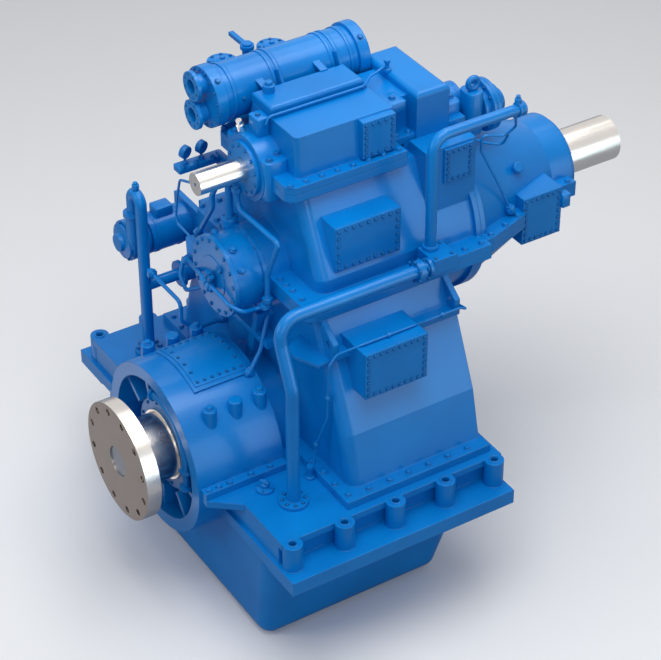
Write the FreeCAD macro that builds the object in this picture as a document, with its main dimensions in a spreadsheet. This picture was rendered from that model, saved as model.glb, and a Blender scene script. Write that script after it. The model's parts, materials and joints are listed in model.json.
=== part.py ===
import FreeCAD, Part
import math
import os
import re
import Sketcher

# Marine reduction gearbox with a vertical shaft offset, in millimetres.
# The origin is the centre of the output flange's coupling face.  +Y runs along the
# shafts towards the engine, +X to the side of the inspection covers, +Z up.

doc = FreeCAD.newDocument("MarineGearbox")
sheet = doc.addObject("Spreadsheet::Sheet", "Sizes")

# Driving dimensions, as alias: value.  Every other size is worked out from these.
sizes = {
    # gear train
    "tooth_module": 15, "bull_teeth": 108, "pinion_teeth": 36,
    "step_teeth": 60, "takeoff_teeth": 28, "tooth_play": 5,
    "bull_face": 400, "bull_start": 1150, "pinion_extra": 10,
    "step_face": 90, "step_start": 1580, "takeoff_extra": 6,
    "rim_depth": 110, "web_recess": 110,
    # output shaft
    "coupling_radius": 375, "coupling_thick": 92, "coupling_circle": 325,
    "coupling_hole": 22, "coupling_holes": 12, "spigot_radius": 97, "spigot_depth": 20,
    "spigot_disc_thick": 12,
    "neck_radius": 206, "journal_radius": 195, "collar_radius": 300, "collar_thick": 60,
    "hub_radius": 230, "tail_radius": 170,
    "oil_film": 0.05, "side_play": 0.3, "bush_wall": 35,
    # output bearing drum at the front
    "drum_front": 248, "drum_radius": 540, "drum_mouth": 455, "bulkhead_front": 397,
    "front_wall": 437, "seat_front": 330, "seat_rear": 600, "seat_wall": 75,
    "rib_thick": 32, "drum_shell": 35, "drum_rear": 826, "tunnel_radius": 420,
    "bush_inset": 10, "thrust_radius": 340, "plate_thick": 25, "run_gap": 5,
    "drum_flange_half": 597, "drum_flange_rear": 820, "drum_flange_thick": 45,
    "hatch_half": 215, "hatch_front": 431, "hatch_rear": 775, "hatch_thick": 22,
    "hatch_rim": 45,
    "tail_seat_front": 1790, "tail_seat_rear": 1970, "tail_seat_wall": 60,
    "tail_cover_thick": 30,
    "ring_thick": 35, "hub_wall": 70, "seal_thick": 14, "seal_width": 85,
    # foundation
    "deck_half": 1155, "deck_thick": 46, "deck_rear": 1962, "wing_half": 743,
    "wing_neck": 600, "wing_front": 265, "sole_half": 1310, "sole_top": 170,
    "sole_thick": 87, "sole_front": 415, "side_wall_half": 1118, "side_wall_thick": 40,
    "column_half": 1177, "column_radius": 60, "column_first": 495, "column_pitch": 350,
    "column_count": 5, "anchor_hole": 22, "cavity_half": 950, "deck_lip": 7,
    "pad_inner": 1030, "pad_thick": 10,
    # oil sump
    "sump_depth": 950, "sump_top_half": 990, "sump_low_half": 910, "sump_rear_top": 1900,
    "sump_rear_low": 1686, "sump_front_low": 450, "sump_wall": 14, "sump_round": 90,
    # main casing
    "case_front": 1000, "case_rear": 1900, "case_wall": 30, "base_flange_thick": 50,
    "base_flange_half": 1100, "base_flange_front": 915, "case_foot_half": 1008,
    "fold_height": 370, "fold_half": 929, "case_top_half": 640, "case_round": 70,
    "joint_half": 50, "joint_front": 925, "joint_reach": 652, "joint_rear": 2250,
    "shelf_height": 829, "shelf_thick": 36, "shelf_reach": 785, "lug_thick": 36,
    "lug_out": 728, "lug_level": 915, "shelf_front_inset": 18, "shelf_rear_inset": 14,
    "base_flange_lip": 20, "joint_lip": 50, "joint_corner": 60, "front_rib_low": 393,
    "front_rib_foot": 583, "front_rib_bend": 725, "front_rib_high": 860,
    "cross_rib_level": 567, "cross_rib_left": 140, "cross_rib_right": 250,
    "cross_rib_left_top": 60, "cross_rib_right_top": 100, "rib_step": 14,
    # middle casing
    "mid_front": 1068, "mid_foot_half": 560, "mid_step": 1215, "mid_top_half": 334,
    "mid_rear": 1850, "tower_half": 450, "tower_rear": 2200, "tower_wall": 28,
    "top_joint_reach": 402, "top_joint_front": 968, "top_joint_rear": 1757,
    "tail_joint_reach": 268, "top_corner": 50,
    # top cover
    "lid_top": 2045, "lid_half": 330, "lid_lean": 16, "lid_rear": 1715, "lid_neck": 172,
    "lid_tail_half": 278, "lid_tail_front": 1900, "lid_tail_rear": 2125, "lid_round": 30,
    # shaft ends and their housings
    "input_end": 3549, "input_radius": 144, "input_body": 118, "input_journal": 110,
    "input_nose": 697, "input_housing_radius": 250, "input_cover_thick": 30,
    "takeoff_end": 600, "takeoff_radius": 68, "takeoff_journal": 62,
    "takeoff_nose": 905, "takeoff_housing_radius": 200, "takeoff_cover_radius": 164,
    "takeoff_cover_thick": 24,
    # clutch and its housing
    "bell_front": 2200, "bell_radius": 520,
    "bell_end_radius": 300, "bell_wall": 28, "drum_start": 2260, "clutch_radius": 330,
    "clutch_length": 380, "clutch_wall": 30, "disc_count": 6, "disc_thick": 12,
    "disc_gap": 2, "piston_thick": 40, "piston_stroke": 8,
    "clutch_hub_radius": 215, "disc_start": 2330, "spline_gap": 0.3, "ring_lip": 85,
    "drum_back": 40, "flange_radius": 200, "end_journal": 140, "end_seat_front": 2950,
    "end_seat_rear": 3060, "bell_ring_radius": 545, "bell_ring_thick": 35,
    "bell_flange_half": 600, "bell_shoulder_radius": 453, "bell_step": 2438,
    "bell_tail_half": 372, "bell_taper_rear": 2900, "seal_cap_thick": 33,
    # input shaft seats
    "shaft_nose": 780, "input_boss": 250, "input_seat_front": 935, "input_seat_rear": 1085,
    "inner_seat_front": 1800, "inner_seat_rear": 1930, "input_seat_wall": 60,
    "input_housing_rear": 925, "input_housing_flange": 30, "input_housing_wall": 75,
    # takeoff shaft seats
    "takeoff_bush_wall": 28, "takeoff_seat_rear": 1089, "takeoff_tail_front": 2110,
    "takeoff_tail_rear": 2330, "takeoff_tail_hub": 110, "takeoff_body": 78,
    # side boxes with their covers
    "cover_thick": 15, "box_wall": 25, "low_box_face": 950, "low_box_front": 1128,
    "low_box_rear": 1550, "low_box_low": 618, "low_box_high": 927,
    "mid_box_face": 560, "mid_box_front": 1174, "mid_box_rear": 1612,
    "mid_box_low": 1250, "mid_box_high": 1545, "tower_top": 1760,
    "tower_hatch_front": 1976, "tower_hatch_rear": 2175, "tower_hatch_low": 1520,
    "tower_hatch_high": 1747, "top_box_face": 365, "top_box_front": 1480,
    "top_box_rear": 1700, "top_box_low": 1800, "top_box_high": 2036,
    "bell_box_face": 480, "bell_box_front": 2550, "bell_box_rear": 2835,
    "bell_box_low": 895, "bell_box_high": 1215, "bell_box_inner": 200,
    # oil system
    "breather_left": 170, "breather_right": 45, "breather_front": 1010,
    "breather_rear": 1690, "breather_top": 2105,
    "cooler_out": 375, "cooler_height": 2029, "cooler_radius": 165, "cooler_head": 183,
    "cooler_front": 947, "cooler_rear": 1827, "cooler_head_long": 70,
    "cooler_foot_front": 1277, "cooler_foot_rear": 1667, "cooler_foot_thick": 16,
    "water_port": 46, "water_flange": 90, "water_bore": 43, "water_face": 800,
    "port_wall": 14, "water_circle": 70.2, "water_hole": 8, "water_holes": 8,
    "water_offset": 92, "filter_out": 665, "filter_front": 1170, "filter_rear": 1507,
    "filter_radius": 80, "filter_lid": 92, "filter_plate": 25, "filter_tall": 310,
    "plate_drop": 10, "filter_margin": 60, "bridge_half": 45, "bridge_rise": 60,
    "bridge_drop": 120, "post_lip": 8, "lever_eye": 20,
    "filter_lid_thick": 35, "post_radius": 22, "post_high": 153, "lever_thick": 24,
    "lever_width": 30, "lever_reach": 190, "pipe_radius": 40, "riser_radius": 33,
    "supply_x": 870, "supply_y": 690, "supply_knee": 812, "supply_run": 735,
    "supply_height": 1205, "supply_lean": 760, "supply_bend": 1064, "union_front": 1600,
    "union_lip": 22, "end_lip": 16, "riser_lip": 15, "riser_end_lip": 10,
    "valve_front": 1700, "valve_rear": 1860, "valve_low": 1165,
    "valve_high": 1262, "control_x": 650, "control_y": 1760, "control_height": 2000,
    "control_end": 2330, "suction_radius": 37, "suction_x": 865, "suction_y": 685,
    "suction_top": 1140, "suction_spacing": 110, "branch_height": 500,
    "branch_end": 940, "pump_height": 735, "pump_front": 657, "pump_rear": 777,
    "pump_radius": 130, "motor_radius": 125, "motor_rear": 1080, "pump_out": 1057,
    "bracket_half": 150, "motor_shell": 25, "motor_gap": 20, "neck_lip": 25,
    "bracket_thick": 40, "pump_neck": 960, "pipe_flange": 90, "pipe_flange_thick": 24,
    "reach": 6000,
}
for row, (alias, size) in enumerate(sizes.items(), start=1):
    sheet.set(f"A{row}", alias)
    sheet.set(f"B{row}", str(size))
    sheet.setAlias(f"B{row}", alias)
doc.recompute()

# Sizes that follow from the driving ones, as formulas.
input_height = "(tooth_module * (bull_teeth + pinion_teeth) / 2)"
takeoff_height = f"({input_height} + tooth_module * (step_teeth + takeoff_teeth) / 2)"
joint_low = f"({input_height} - joint_half)"
joint_high = f"({input_height} + joint_half)"
lid_low = f"({takeoff_height} - joint_half)"
lid_high = f"({takeoff_height} + joint_half)"
seat_radius = "(journal_radius + oil_film + bush_wall)"
seat_outer = f"({seat_radius} + seat_wall)"
deck_low = "(0 - deck_thick)"
sole_low = "(0 - sole_top - sole_thick)"
pad_low = f"({sole_low} - pad_thick)"
filter_foot = f"({lid_low} + plate_drop + filter_plate)"
filter_top = f"({filter_foot} + filter_tall)"


def spell(formula):
    """The formula with every size written as its cell in the sheet."""
    return re.sub(r"[a-z_]+", lambda word: "Sizes." + word.group()
                  if word.group() in sizes else word.group(), str(formula))


def value(formula):
    """The number that a formula gives now."""
    return float(sheet.evalExpression(spell(formula)))


def bind(item, **formulas):
    """Sets sizes of an object by formulas."""
    for name, formula in formulas.items():
        item.setExpression(name, spell(formula))
    return item


def seat(item, x=0, y=0, z=0):
    """Places an object by three formulas."""
    for axis, formula in zip("xyz", (x, y, z)):
        item.setExpression(f"Placement.Base.{axis}", spell(formula))
    return item


turns = {
    "X": FreeCAD.Rotation(FreeCAD.Vector(0, 1, 0), 90),
    "Y": FreeCAD.Rotation(FreeCAD.Vector(1, 0, 0), -90),
    "Z": FreeCAD.Rotation(),
}


def box(x, y, z, length, width, height):
    """A block from its lowest corner."""
    item = doc.addObject("Part::Box", "block")
    bind(item, Length=length, Width=width, Height=height)
    return seat(item, x, y, z)


def span(left, right, front, rear, low, high):
    """A block between six planes."""
    return box(left, front, low, f"{right} - ({left})", f"{rear} - ({front})",
               f"{high} - ({low})")


def rod(radius, length, x=0, y=0, z=0, along="Y"):
    """A round bar from the centre of its first face."""
    item = doc.addObject("Part::Cylinder", "rod")
    item.Placement.Rotation = turns[along]
    bind(item, Radius=radius, Height=length)
    return seat(item, x, y, z)


def join(*items):
    """One solid of several that touch."""
    item = doc.addObject("Part::MultiFuse", "joined")
    item.Shapes = list(items)
    item.Refine = False
    return item


def cut(base, *tools):
    """The base without its tools."""
    item = doc.addObject("Part::Cut", "cut")
    item.Base = base
    item.Tool = tools[0] if len(tools) == 1 else join(*tools)
    item.Refine = True
    return item


def tube(outer, inner, length, x=0, y=0, z=0, along="Y"):
    """A ring or pipe."""
    return cut(rod(outer, length, x, y, z, along), rod(inner, length, x, y, z, along))


def group(*items):
    """Separate solids of one kind in one node."""
    item = doc.addObject("Part::Compound", "group")
    item.Links = list(items)
    return item


def outline(corners, plane="XY", at=0):
    """A closed sketch whose corners are pairs of formulas."""
    item = doc.addObject("Sketcher::SketchObject", "outline")
    spots = [FreeCAD.Vector(value(u), value(v), 0) for u, v in corners]
    count = len(spots)
    for k in range(count):
        item.addGeometry(Part.LineSegment(spots[k], spots[(k + 1) % count]))
    for k in range(count):
        item.addConstraint(Sketcher.Constraint("Coincident", k - 1 if k else count - 1, 2, k, 1))
    for k, (u, v) in enumerate(corners):
        for kind, formula in (("DistanceX", u), ("DistanceY", v)):
            row = item.addConstraint(Sketcher.Constraint(kind, -1, 1, k, 1, value(formula)))
            item.setExpression(f"Constraints[{row}]", spell(formula))
    if plane == "XZ":
        item.Placement.Rotation = FreeCAD.Rotation(FreeCAD.Vector(1, 0, 0), 90)
        return seat(item, y=at)
    if plane == "YZ":
        item.Placement.Rotation = FreeCAD.Rotation(FreeCAD.Vector(1, 1, 1), 120)
        return seat(item, x=at)
    return seat(item, z=at)


def prism(corners, length, plane="XY", at=0):
    """An outline carried along X, +Y or Z."""
    item = doc.addObject("Part::Extrusion", "prism")
    item.Base = outline(corners, plane, at)
    item.DirMode = "Custom"
    item.Dir = {"XY": FreeCAD.Vector(0, 0, 1), "XZ": FreeCAD.Vector(0, 1, 0),
                "YZ": FreeCAD.Vector(1, 0, 0)}[plane]
    item.Solid = True
    return bind(item, LengthFwd=length)


def mirrored(half):
    """Corners of the right half, then the same on the left."""
    return half + [(f"-({u})", v) for u, v in reversed(half)]


def turned(profile, z=0, x=0):
    """A profile of (radius, y) turned about an axis along Y."""
    item = doc.addObject("Part::Revolution", "turned")
    item.Source = outline(profile)
    item.Axis = FreeCAD.Vector(0, 1, 0)
    item.Angle = 360
    item.Solid = True
    return seat(item, x, 0, z)


def rounded(base, radius, chosen):
    """The base with the chosen edges rounded."""
    doc.recompute()
    item = doc.addObject("Part::Fillet", "rounded")
    item.Base = base
    size = value(radius)
    item.Edges = [(k, size, size) for k, edge in enumerate(base.Shape.Edges, start=1)
                  if chosen(edge)]
    return item


def circle_of(count, radius, hole, y, length, z=0, phase=0.5, x=0):
    """Round bars on a circle about an axis along Y."""
    step = 360 / count
    return [rod(hole, length, f"{x} + ({radius}) * {math.cos(math.radians(step * (k + phase)))}",
                y, f"{z} + ({radius}) * {math.sin(math.radians(step * (k + phase)))}")
            for k in range(int(count))]


pieces = []


def piece(label, item):
    """Names a finished sub-part."""
    item.Label = label
    pieces.append(item)
    return item


# Gears


def toothed(teeth, face, start, height, first_angle):
    """A spur gear's toothed disc: straight flanks, one tooth centred on first_angle."""
    count = round(value(teeth))
    module = value("tooth_module")
    pitch = module * count / 2
    tip, root = pitch + module, pitch - 1.25 * module
    half_pitch = math.pi * module / 4 - value("tooth_play") / 4
    lean = math.tan(math.radians(20))
    half_tip = half_pitch - module * lean
    half_root = half_pitch + 1.25 * module * lean
    spots = []
    for k in range(count):
        middle = math.radians(first_angle) + 2 * math.pi * k / count
        for radius, half in ((root, -half_root), (tip, -half_tip), (tip, half_tip), (root, half_root)):
            angle = middle + half / radius
            spots.append(FreeCAD.Vector(radius * math.cos(angle), 0, radius * math.sin(angle)))
    disc = Part.Face(Part.makePolygon(spots + spots[:1]))
    item = doc.addObject("Part::Feature", "toothed")
    item.Shape = disc.extrude(FreeCAD.Vector(0, value(face), 0))
    return seat(item, 0, start, height)


def hollowed(disc, teeth, bore, hub, face, start, height):
    """The disc with its bore, and a thin web between hub and rim."""
    rim = f"(tooth_module * {teeth} / 2 - rim_depth)"
    tools = [rod(bore, face, 0, start, height)]
    for first in (start, f"{start} + {face} - web_recess"):
        tools.append(tube(rim, hub, "web_recess", 0, first, height))
    return cut(disc, *tools)


# A tooth of each wheel stands across a gap of its mate on the line between the shafts.
bull = toothed("bull_teeth", "bull_face", "bull_start", 0, 90)
piece("bull_gear", hollowed(bull, "bull_teeth", "hub_radius", "hub_radius + 70",
                            "bull_face", "bull_start", 0))
gap_down = -90 + 180 / sizes["pinion_teeth"]
pinion = toothed("pinion_teeth", "bull_face + 2 * pinion_extra", "bull_start - pinion_extra",
                 input_height, gap_down)
piece("input_pinion", cut(pinion, rod("input_body", "bull_face + 2 * pinion_extra", 0,
                                      "bull_start - pinion_extra", input_height)))
step = toothed("step_teeth", "step_face", "step_start", input_height, 90)
piece("step_up_gear", cut(step, rod("input_body", "step_face", 0, "step_start", input_height),
                          *circle_of(6, "tooth_module * step_teeth / 4 + 40", 75, "step_start",
                                     "step_face", input_height)))
takeoff = toothed("takeoff_teeth", "step_face + 2 * takeoff_extra",
                  "step_start - takeoff_extra", takeoff_height,
                  -90 + 180 / sizes["takeoff_teeth"])
piece("takeoff_gear", cut(takeoff, rod("takeoff_radius + 10", "step_face + 2 * takeoff_extra", 0,
                                       "step_start - takeoff_extra", takeoff_height)))


def kept(base, keeper):
    """What two objects share."""
    item = doc.addObject("Part::Common", "kept")
    item.Base = base
    item.Tool = keeper
    item.Refine = True
    return item


def below(base, height):
    """The base up to a level."""
    return kept(base, span("0 - reach", "reach", "0 - reach", "reach", "0 - reach", height))


def above(base, height):
    """The base from a level up."""
    return kept(base, span("0 - reach", "reach", "0 - reach", "reach", height, "reach"))


def halves(ring, height):
    """A ring split level with the shaft's centre, as two solids."""
    return group(below(ring, height), above(ring, height))


def both(make):
    """The same form on the right and on the left."""
    return [make(1), make(-1)]


def side_span(side, inner, outer, front, rear, low, high):
    """A block between two distances from the middle plane."""
    if side > 0:
        return span(inner, outer, front, rear, low, high)
    return span(f"0 - ({outer})", f"0 - ({inner})", front, rear, low, high)


def spoke(inner, outer, thick, angle, front, length):
    """A flat rib that points away from the Y axis."""
    c = math.cos(math.radians(angle))
    s = math.sin(math.radians(angle))
    corners = []
    for radius, side in ((inner, -1), (outer, -1), (outer, 1), (inner, 1)):
        corners.append((f"({radius}) * {c} - {side} * ({thick}) / 2 * {s}",
                        f"({radius}) * {s} + {side} * ({thick}) / 2 * {c}"))
    return prism(corners, length, "XZ", front)


# Output shaft and what turns with it

collar_front = "(seat_rear + ring_thick + side_play)"
collar_rear = f"({collar_front} + collar_thick)"
thrust_rear = f"({collar_rear} + side_play + ring_thick)"
bull_rear = "(bull_start + bull_face)"
tail_end = "(tail_seat_rear - bush_inset)"
tail_radius_seat = "(tail_radius + oil_film + bush_wall)"
tail_outer = f"({tail_radius_seat} + tail_seat_wall)"

shaft = turned([
    (0, "spigot_depth"), ("spigot_radius", "spigot_depth"), ("spigot_radius", 0),
    ("coupling_radius", 0), ("coupling_radius", "coupling_thick"),
    ("neck_radius", "coupling_thick"), ("neck_radius", "seat_front"),
    ("journal_radius", "seat_front"), ("journal_radius", collar_front),
    ("collar_radius", collar_front), ("collar_radius", collar_rear),
    ("hub_radius", collar_rear), ("hub_radius", bull_rear),
    ("tail_radius", bull_rear), ("tail_radius", tail_end), (0, tail_end),
])
piece("output_shaft", cut(shaft, *circle_of(sizes["coupling_holes"], "coupling_circle",
                                            "coupling_hole", 0, "coupling_thick")))
piece("spigot_disc", rod("spigot_radius - run_gap / 5", "spigot_disc_thick", 0,
                         "spigot_depth - spigot_disc_thick"))

# Plain bearings of the output shaft, each split level with its centre

front_bush = tube(seat_radius, "journal_radius + oil_film",
                  "seat_rear - seat_front - 2 * bush_inset", 0, "seat_front + bush_inset")
rear_bush = tube(tail_radius_seat, "tail_radius + oil_film",
                 "tail_seat_rear - tail_seat_front - 2 * bush_inset", 0,
                 "tail_seat_front + bush_inset")
piece("output_bushes", group(halves(front_bush, 0), halves(rear_bush, 0)))
piece("thrust_rings", group(
    tube("collar_radius - run_gap", "journal_radius + run_gap", "ring_thick", 0, "seat_rear"),
    tube("collar_radius - run_gap", "hub_radius + run_gap", "ring_thick", 0,
         f"{collar_rear} + side_play")))
piece("thrust_housing", turned([
    ("collar_radius + run_gap", "seat_rear"), ("thrust_radius", "seat_rear"),
    ("thrust_radius", f"{thrust_rear} + plate_thick"),
    ("hub_radius + run_gap", f"{thrust_rear} + plate_thick"),
    ("hub_radius + run_gap", thrust_rear), ("collar_radius + run_gap", thrust_rear)]))
piece("output_seal_cover", tube("neck_radius + seal_width", "neck_radius + run_gap / 5",
                                "seal_thick", 0, "seat_front - seal_thick"))
piece("output_rear_cover", rod(tail_outer, "tail_cover_thick", 0, "tail_seat_rear"))

# Front bearing drum: its lower half belongs to the foundation, its upper half to the cap

rib_front = "(drum_front + seat_front) / 2"
drum = join(
    tube("drum_radius", "drum_mouth", "bulkhead_front - drum_front", 0, "drum_front"),
    rod("drum_radius", "front_wall - bulkhead_front", 0, "bulkhead_front"),
    rod(seat_outer, "seat_rear - seat_front", 0, "seat_front"),
    rod("thrust_radius", "drum_shell", 0, "seat_rear - drum_shell"),
    *[spoke(f"{seat_outer} - run_gap", "drum_mouth + run_gap", "rib_thick", angle, rib_front,
            f"bulkhead_front - {rib_front} + run_gap")
      for angle in (35, 70, 110, 145, -20, -55, -90, -125, -160)])
drum_bore = rod(seat_radius, "seat_rear - seat_front + 2 * run_gap", 0, "seat_front - run_gap")

cap_shell = tube("drum_radius", "drum_radius - drum_shell", "drum_rear - front_wall", 0,
                 "front_wall")
cap_back = tube("drum_radius", "tunnel_radius - drum_shell", "drum_shell", 0,
                "drum_rear - drum_shell")
cap_sides = both(lambda side: cut(
    side_span(side, "drum_mouth", "drum_flange_half", "wing_front", "drum_flange_rear", 0,
              "drum_flange_thick"),
    rod("drum_radius - drum_shell / 2", "reach", 0, 0)))
hatch_hole = span("hatch_rim - hatch_half", "hatch_half - hatch_rim",
                  "hatch_front + hatch_rim", "hatch_rear - hatch_rim", "drum_mouth",
                  "drum_radius + hatch_thick")
cap = join(above(join(drum, cap_shell, cap_back), 0), *cap_sides)
piece("output_bearing_cap", cut(cap, drum_bore, hatch_hole))
hatch = tube("drum_radius + hatch_thick", "drum_radius", "hatch_rear - hatch_front", 0,
             "hatch_front")
piece("drum_inspection_cover", kept(hatch, span("0 - hatch_half", "hatch_half", "hatch_front",
                                                "hatch_rear", 0, "reach")))

# Foundation with its deck, sole plate, walls and bolt columns

deck = cut(
    prism(mirrored([("wing_neck", "wing_front"), ("wing_half", "front_wall"),
                    ("deck_half", "front_wall"), ("deck_half", "deck_rear")]),
          "deck_thick", "XY", deck_low),
    rod("drum_mouth", "bulkhead_front", 0, 0),
    span("drum_shell - tunnel_radius", "tunnel_radius - drum_shell",
         "front_wall + side_wall_thick", "case_front + case_wall", deck_low, 1),
    span("0 - cavity_half", "cavity_half", "case_front + case_wall", "case_rear - case_wall",
         deck_low, 1))
wall_rear = "(deck_rear - side_wall_thick)"
walls = cut(
    span("0 - side_wall_half", "side_wall_half", "front_wall", wall_rear, "0 - sole_top",
         deck_low),
    span("side_wall_thick - side_wall_half", "side_wall_half - side_wall_thick",
         "front_wall + side_wall_thick", f"{wall_rear} - side_wall_thick", "0 - sole_top",
         deck_low))
sole = cut(
    span("0 - sole_half", "sole_half", "sole_front", "deck_rear - deck_lip", sole_low, "0 - sole_top"),
    span("0 - cavity_half", "cavity_half", "front_wall + side_wall_thick",
         f"{wall_rear} - side_wall_thick", sole_low, "0 - sole_top"))
columns = []
anchors = []
for side in (1, -1):
    for k in range(sizes["column_count"]):
        middle = f"(column_first + {k} * column_pitch)"
        across = f"{side} * column_half"
        columns.append(rod("column_radius", "sole_top", across, middle, "0 - sole_top", "Z"))
        columns.append(side_span(side, "side_wall_half - run_gap", "column_half",
                                 f"{middle} - rib_thick", f"{middle} + rib_thick",
                                 "0 - sole_top", deck_low))
        anchors.append(rod("anchor_hole", "sole_top + sole_thick + pad_thick", across, middle,
                           pad_low, "Z"))
pads = both(lambda side: side_span(side, "pad_inner", "sole_half", "sole_front",
                                   "deck_rear - deck_lip", pad_low, sole_low))
tail_hub = rod(tail_outer, "tail_seat_rear - tail_seat_front", 0, "tail_seat_front")
tail_bore = rod(tail_radius_seat, "tail_seat_rear - tail_seat_front", 0, "tail_seat_front")
lower = join(deck, walls, sole, *pads, *columns, below(drum, 0), below(tail_hub, 0))
piece("lower_casing", cut(lower, drum_bore, tail_bore, *anchors))


def sump_form(inset):
    """The sump's outer form, drawn in by an inset on every side but the top."""
    wide = prism([(f"sump_top_half - {inset}", sole_low),
                  (f"sump_low_half - {inset}", f"{inset} - sump_depth"),
                  (f"{inset} - sump_low_half", f"{inset} - sump_depth"),
                  (f"{inset} - sump_top_half", sole_low)], "reach", "XZ", 0)
    long = prism([(f"front_wall + {inset}", sole_low),
                  (f"sump_front_low + {inset}", f"{inset} - sump_depth"),
                  (f"sump_rear_low - {inset}", f"{inset} - sump_depth"),
                  (f"sump_rear_top - {inset}", sole_low)], "2 * reach", "YZ", "0 - reach")
    form = kept(wide, long)
    top = value(sole_low) - 1
    return rounded(form, f"sump_round - {inset}", lambda edge: min(
        edge.Vertexes[0].Point.z, edge.Vertexes[-1].Point.z) < top)


piece("oil_sump", cut(sump_form("0"), sump_form("sump_wall"),
                      rod(seat_outer, "seat_rear - seat_front", 0, "seat_front"),
                      rod(tail_outer, "tail_seat_rear - tail_seat_front", 0,
                          "tail_seat_front")))

# Main casing between the foundation and the input shaft


def case_outline(inset, low, high):
    """The main casing's section: upright foot, then two leaning stretches."""
    return mirrored([(f"case_foot_half - {inset}", low),
                     (f"case_foot_half - {inset}", "base_flange_thick"),
                     (f"fold_half - {inset}", "fold_height"),
                     (f"case_top_half - {inset}", high)])


def upright(front):
    """Chooses the corner edges of a casing that leave its base at a given plane."""
    def chosen(edge):
        first, last = edge.Vertexes[0].Point, edge.Vertexes[-1].Point
        level = value(front)
        return (abs(first.y - level) < 0.1 and abs(last.y - level) < 0.1
                and abs(first.z - last.z) > 1)
    return chosen


case_form = rounded(prism(case_outline("0", 0, joint_low), "case_rear - case_front", "XZ",
                          "case_front"), "case_round", upright("case_front"))
case_core = prism(case_outline("case_wall", 0, joint_low),
                  "case_rear - case_front - 2 * case_wall", "XZ", "case_front + case_wall")
shelf = span("0 - shelf_reach", "shelf_reach", "case_front + shelf_front_inset",
             "case_rear - shelf_rear_inset",
             "shelf_height", "shelf_height + shelf_thick")
base_flange = span("0 - base_flange_half", "base_flange_half", "base_flange_front",
                   "case_rear + base_flange_lip", 0, "base_flange_thick")


def joint_plate(low):
    """The flange plate at the input shaft's level."""
    return prism(mirrored([("joint_reach - joint_corner", "joint_front"),
                           ("joint_reach", "joint_front + joint_corner"),
                           ("joint_reach", "joint_rear - joint_lip")]),
                 "joint_half", "XY", low)


def low_box(side):
    """Side box of the main casing."""
    return side_span(side, "mid_foot_half", "low_box_face - cover_thick", "low_box_front",
                     "low_box_rear", "low_box_low", "low_box_high")


def low_window(side):
    """Opening through the side box."""
    return side_span(side, "mid_foot_half - case_wall", "low_box_face",
                     "low_box_front + box_wall", "low_box_rear - box_wall",
                     "low_box_low + box_wall", "low_box_high - box_wall")


lug_corners = [("mid_foot_half", "shelf_height"), ("shelf_reach", "shelf_height"),
               ("shelf_reach", "shelf_height + 3 * shelf_thick"), ("joint_reach", joint_low),
               ("mid_foot_half", joint_low)]
lugs = []
lug_holes = []
for place in ("case_front + shelf_front_inset", "case_rear - shelf_rear_inset - lug_thick"):
    lug_holes += [rod("anchor_hole", "lug_thick", f"{side} * lug_out", place, "lug_level")
                  for side in (1, -1)]
    lugs.append(prism(lug_corners, "lug_thick", "XZ", place))
    lugs.append(prism([(f"0 - ({u})", v) for u, v in lug_corners], "lug_thick", "XZ", place))
upright_rib = prism([("base_flange_front - base_flange_lip", "front_rib_low"),
                     ("base_flange_front + rib_step", "front_rib_foot"),
                     ("case_front - rib_thick", "front_rib_bend"),
                     ("case_front + run_gap", "front_rib_high"),
                     ("case_front + run_gap", "front_rib_low")], "rib_thick", "YZ",
                    "0 - rib_thick / 2")
cross_rib = prism([("0 - cross_rib_left", "case_front + run_gap"),
                   ("0 - cross_rib_left_top", "base_flange_front + rib_step"),
                   ("cross_rib_right_top", "base_flange_front + rib_step"),
                   ("cross_rib_right", "case_front + run_gap")],
                  "rib_thick", "XY", "cross_rib_level")
input_seat = "(input_journal + oil_film + bush_wall)"
input_outer = f"({input_seat} + input_seat_wall)"
front_boss = rod("input_boss", "input_seat_rear + bush_inset - joint_front", 0, "joint_front",
                 input_height)
inner_boss = rod(input_outer, "inner_seat_rear - inner_seat_front", 0, "inner_seat_front",
                 input_height)
bulge = rod("bell_radius", "bell_front - case_rear + case_wall", 0, "case_rear - case_wall",
            input_height)
bulge_ring = rod("bell_ring_radius", "bell_ring_thick", 0, "bell_front - bell_ring_thick",
                 input_height)
bulge_core = rod("bell_radius - bell_wall", "bell_front - case_rear", 0, "case_rear",
                 input_height)
input_bores = [
    rod(input_seat, "input_seat_rear - input_seat_front", 0, "input_seat_front", input_height),
    rod(f"{input_seat} - bush_inset", "joint_rear", 0, "joint_front - run_gap", input_height),
    rod(input_seat, "inner_seat_rear - inner_seat_front - 2 * run_gap", 0,
        "inner_seat_front + run_gap", input_height)]
tunnel = tube("tunnel_radius", "tunnel_radius - drum_shell", "case_front - drum_rear + run_gap",
              0, "drum_rear")
branch_boss = rod("pipe_flange - 30", "case_front + 75 - branch_end", "0 - suction_x",
                  "branch_end", "branch_height")
case_shell = cut(
    join(case_form, shelf, base_flange, joint_plate(joint_low), *both(low_box), *lugs,
         upright_rib, cross_rib, above(tunnel, 0),
         below(bulge, input_height), below(bulge_ring, input_height), branch_boss),
    case_core, *both(low_window), *lug_holes, bulge_core,
    rod("tunnel_radius - drum_shell", "case_front + case_wall - base_flange_front + run_gap", 0,
        "base_flange_front - run_gap"),
    span("case_wall - mid_foot_half", "mid_foot_half - case_wall", "mid_front + case_wall",
         "mid_rear - case_wall", joint_low, input_height))
case_whole = join(join(join(case_shell, below(front_boss, input_height)),
                       below(inner_boss, input_height)), above(tail_hub, 0))
piece("main_casing", cut(case_whole, *input_bores, tail_bore))


def cover_plate(side, face, front, rear, low, high):
    """A flat cover on a side box."""
    return side_span(side, f"{face} - cover_thick", face, front, rear, low, high)


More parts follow.
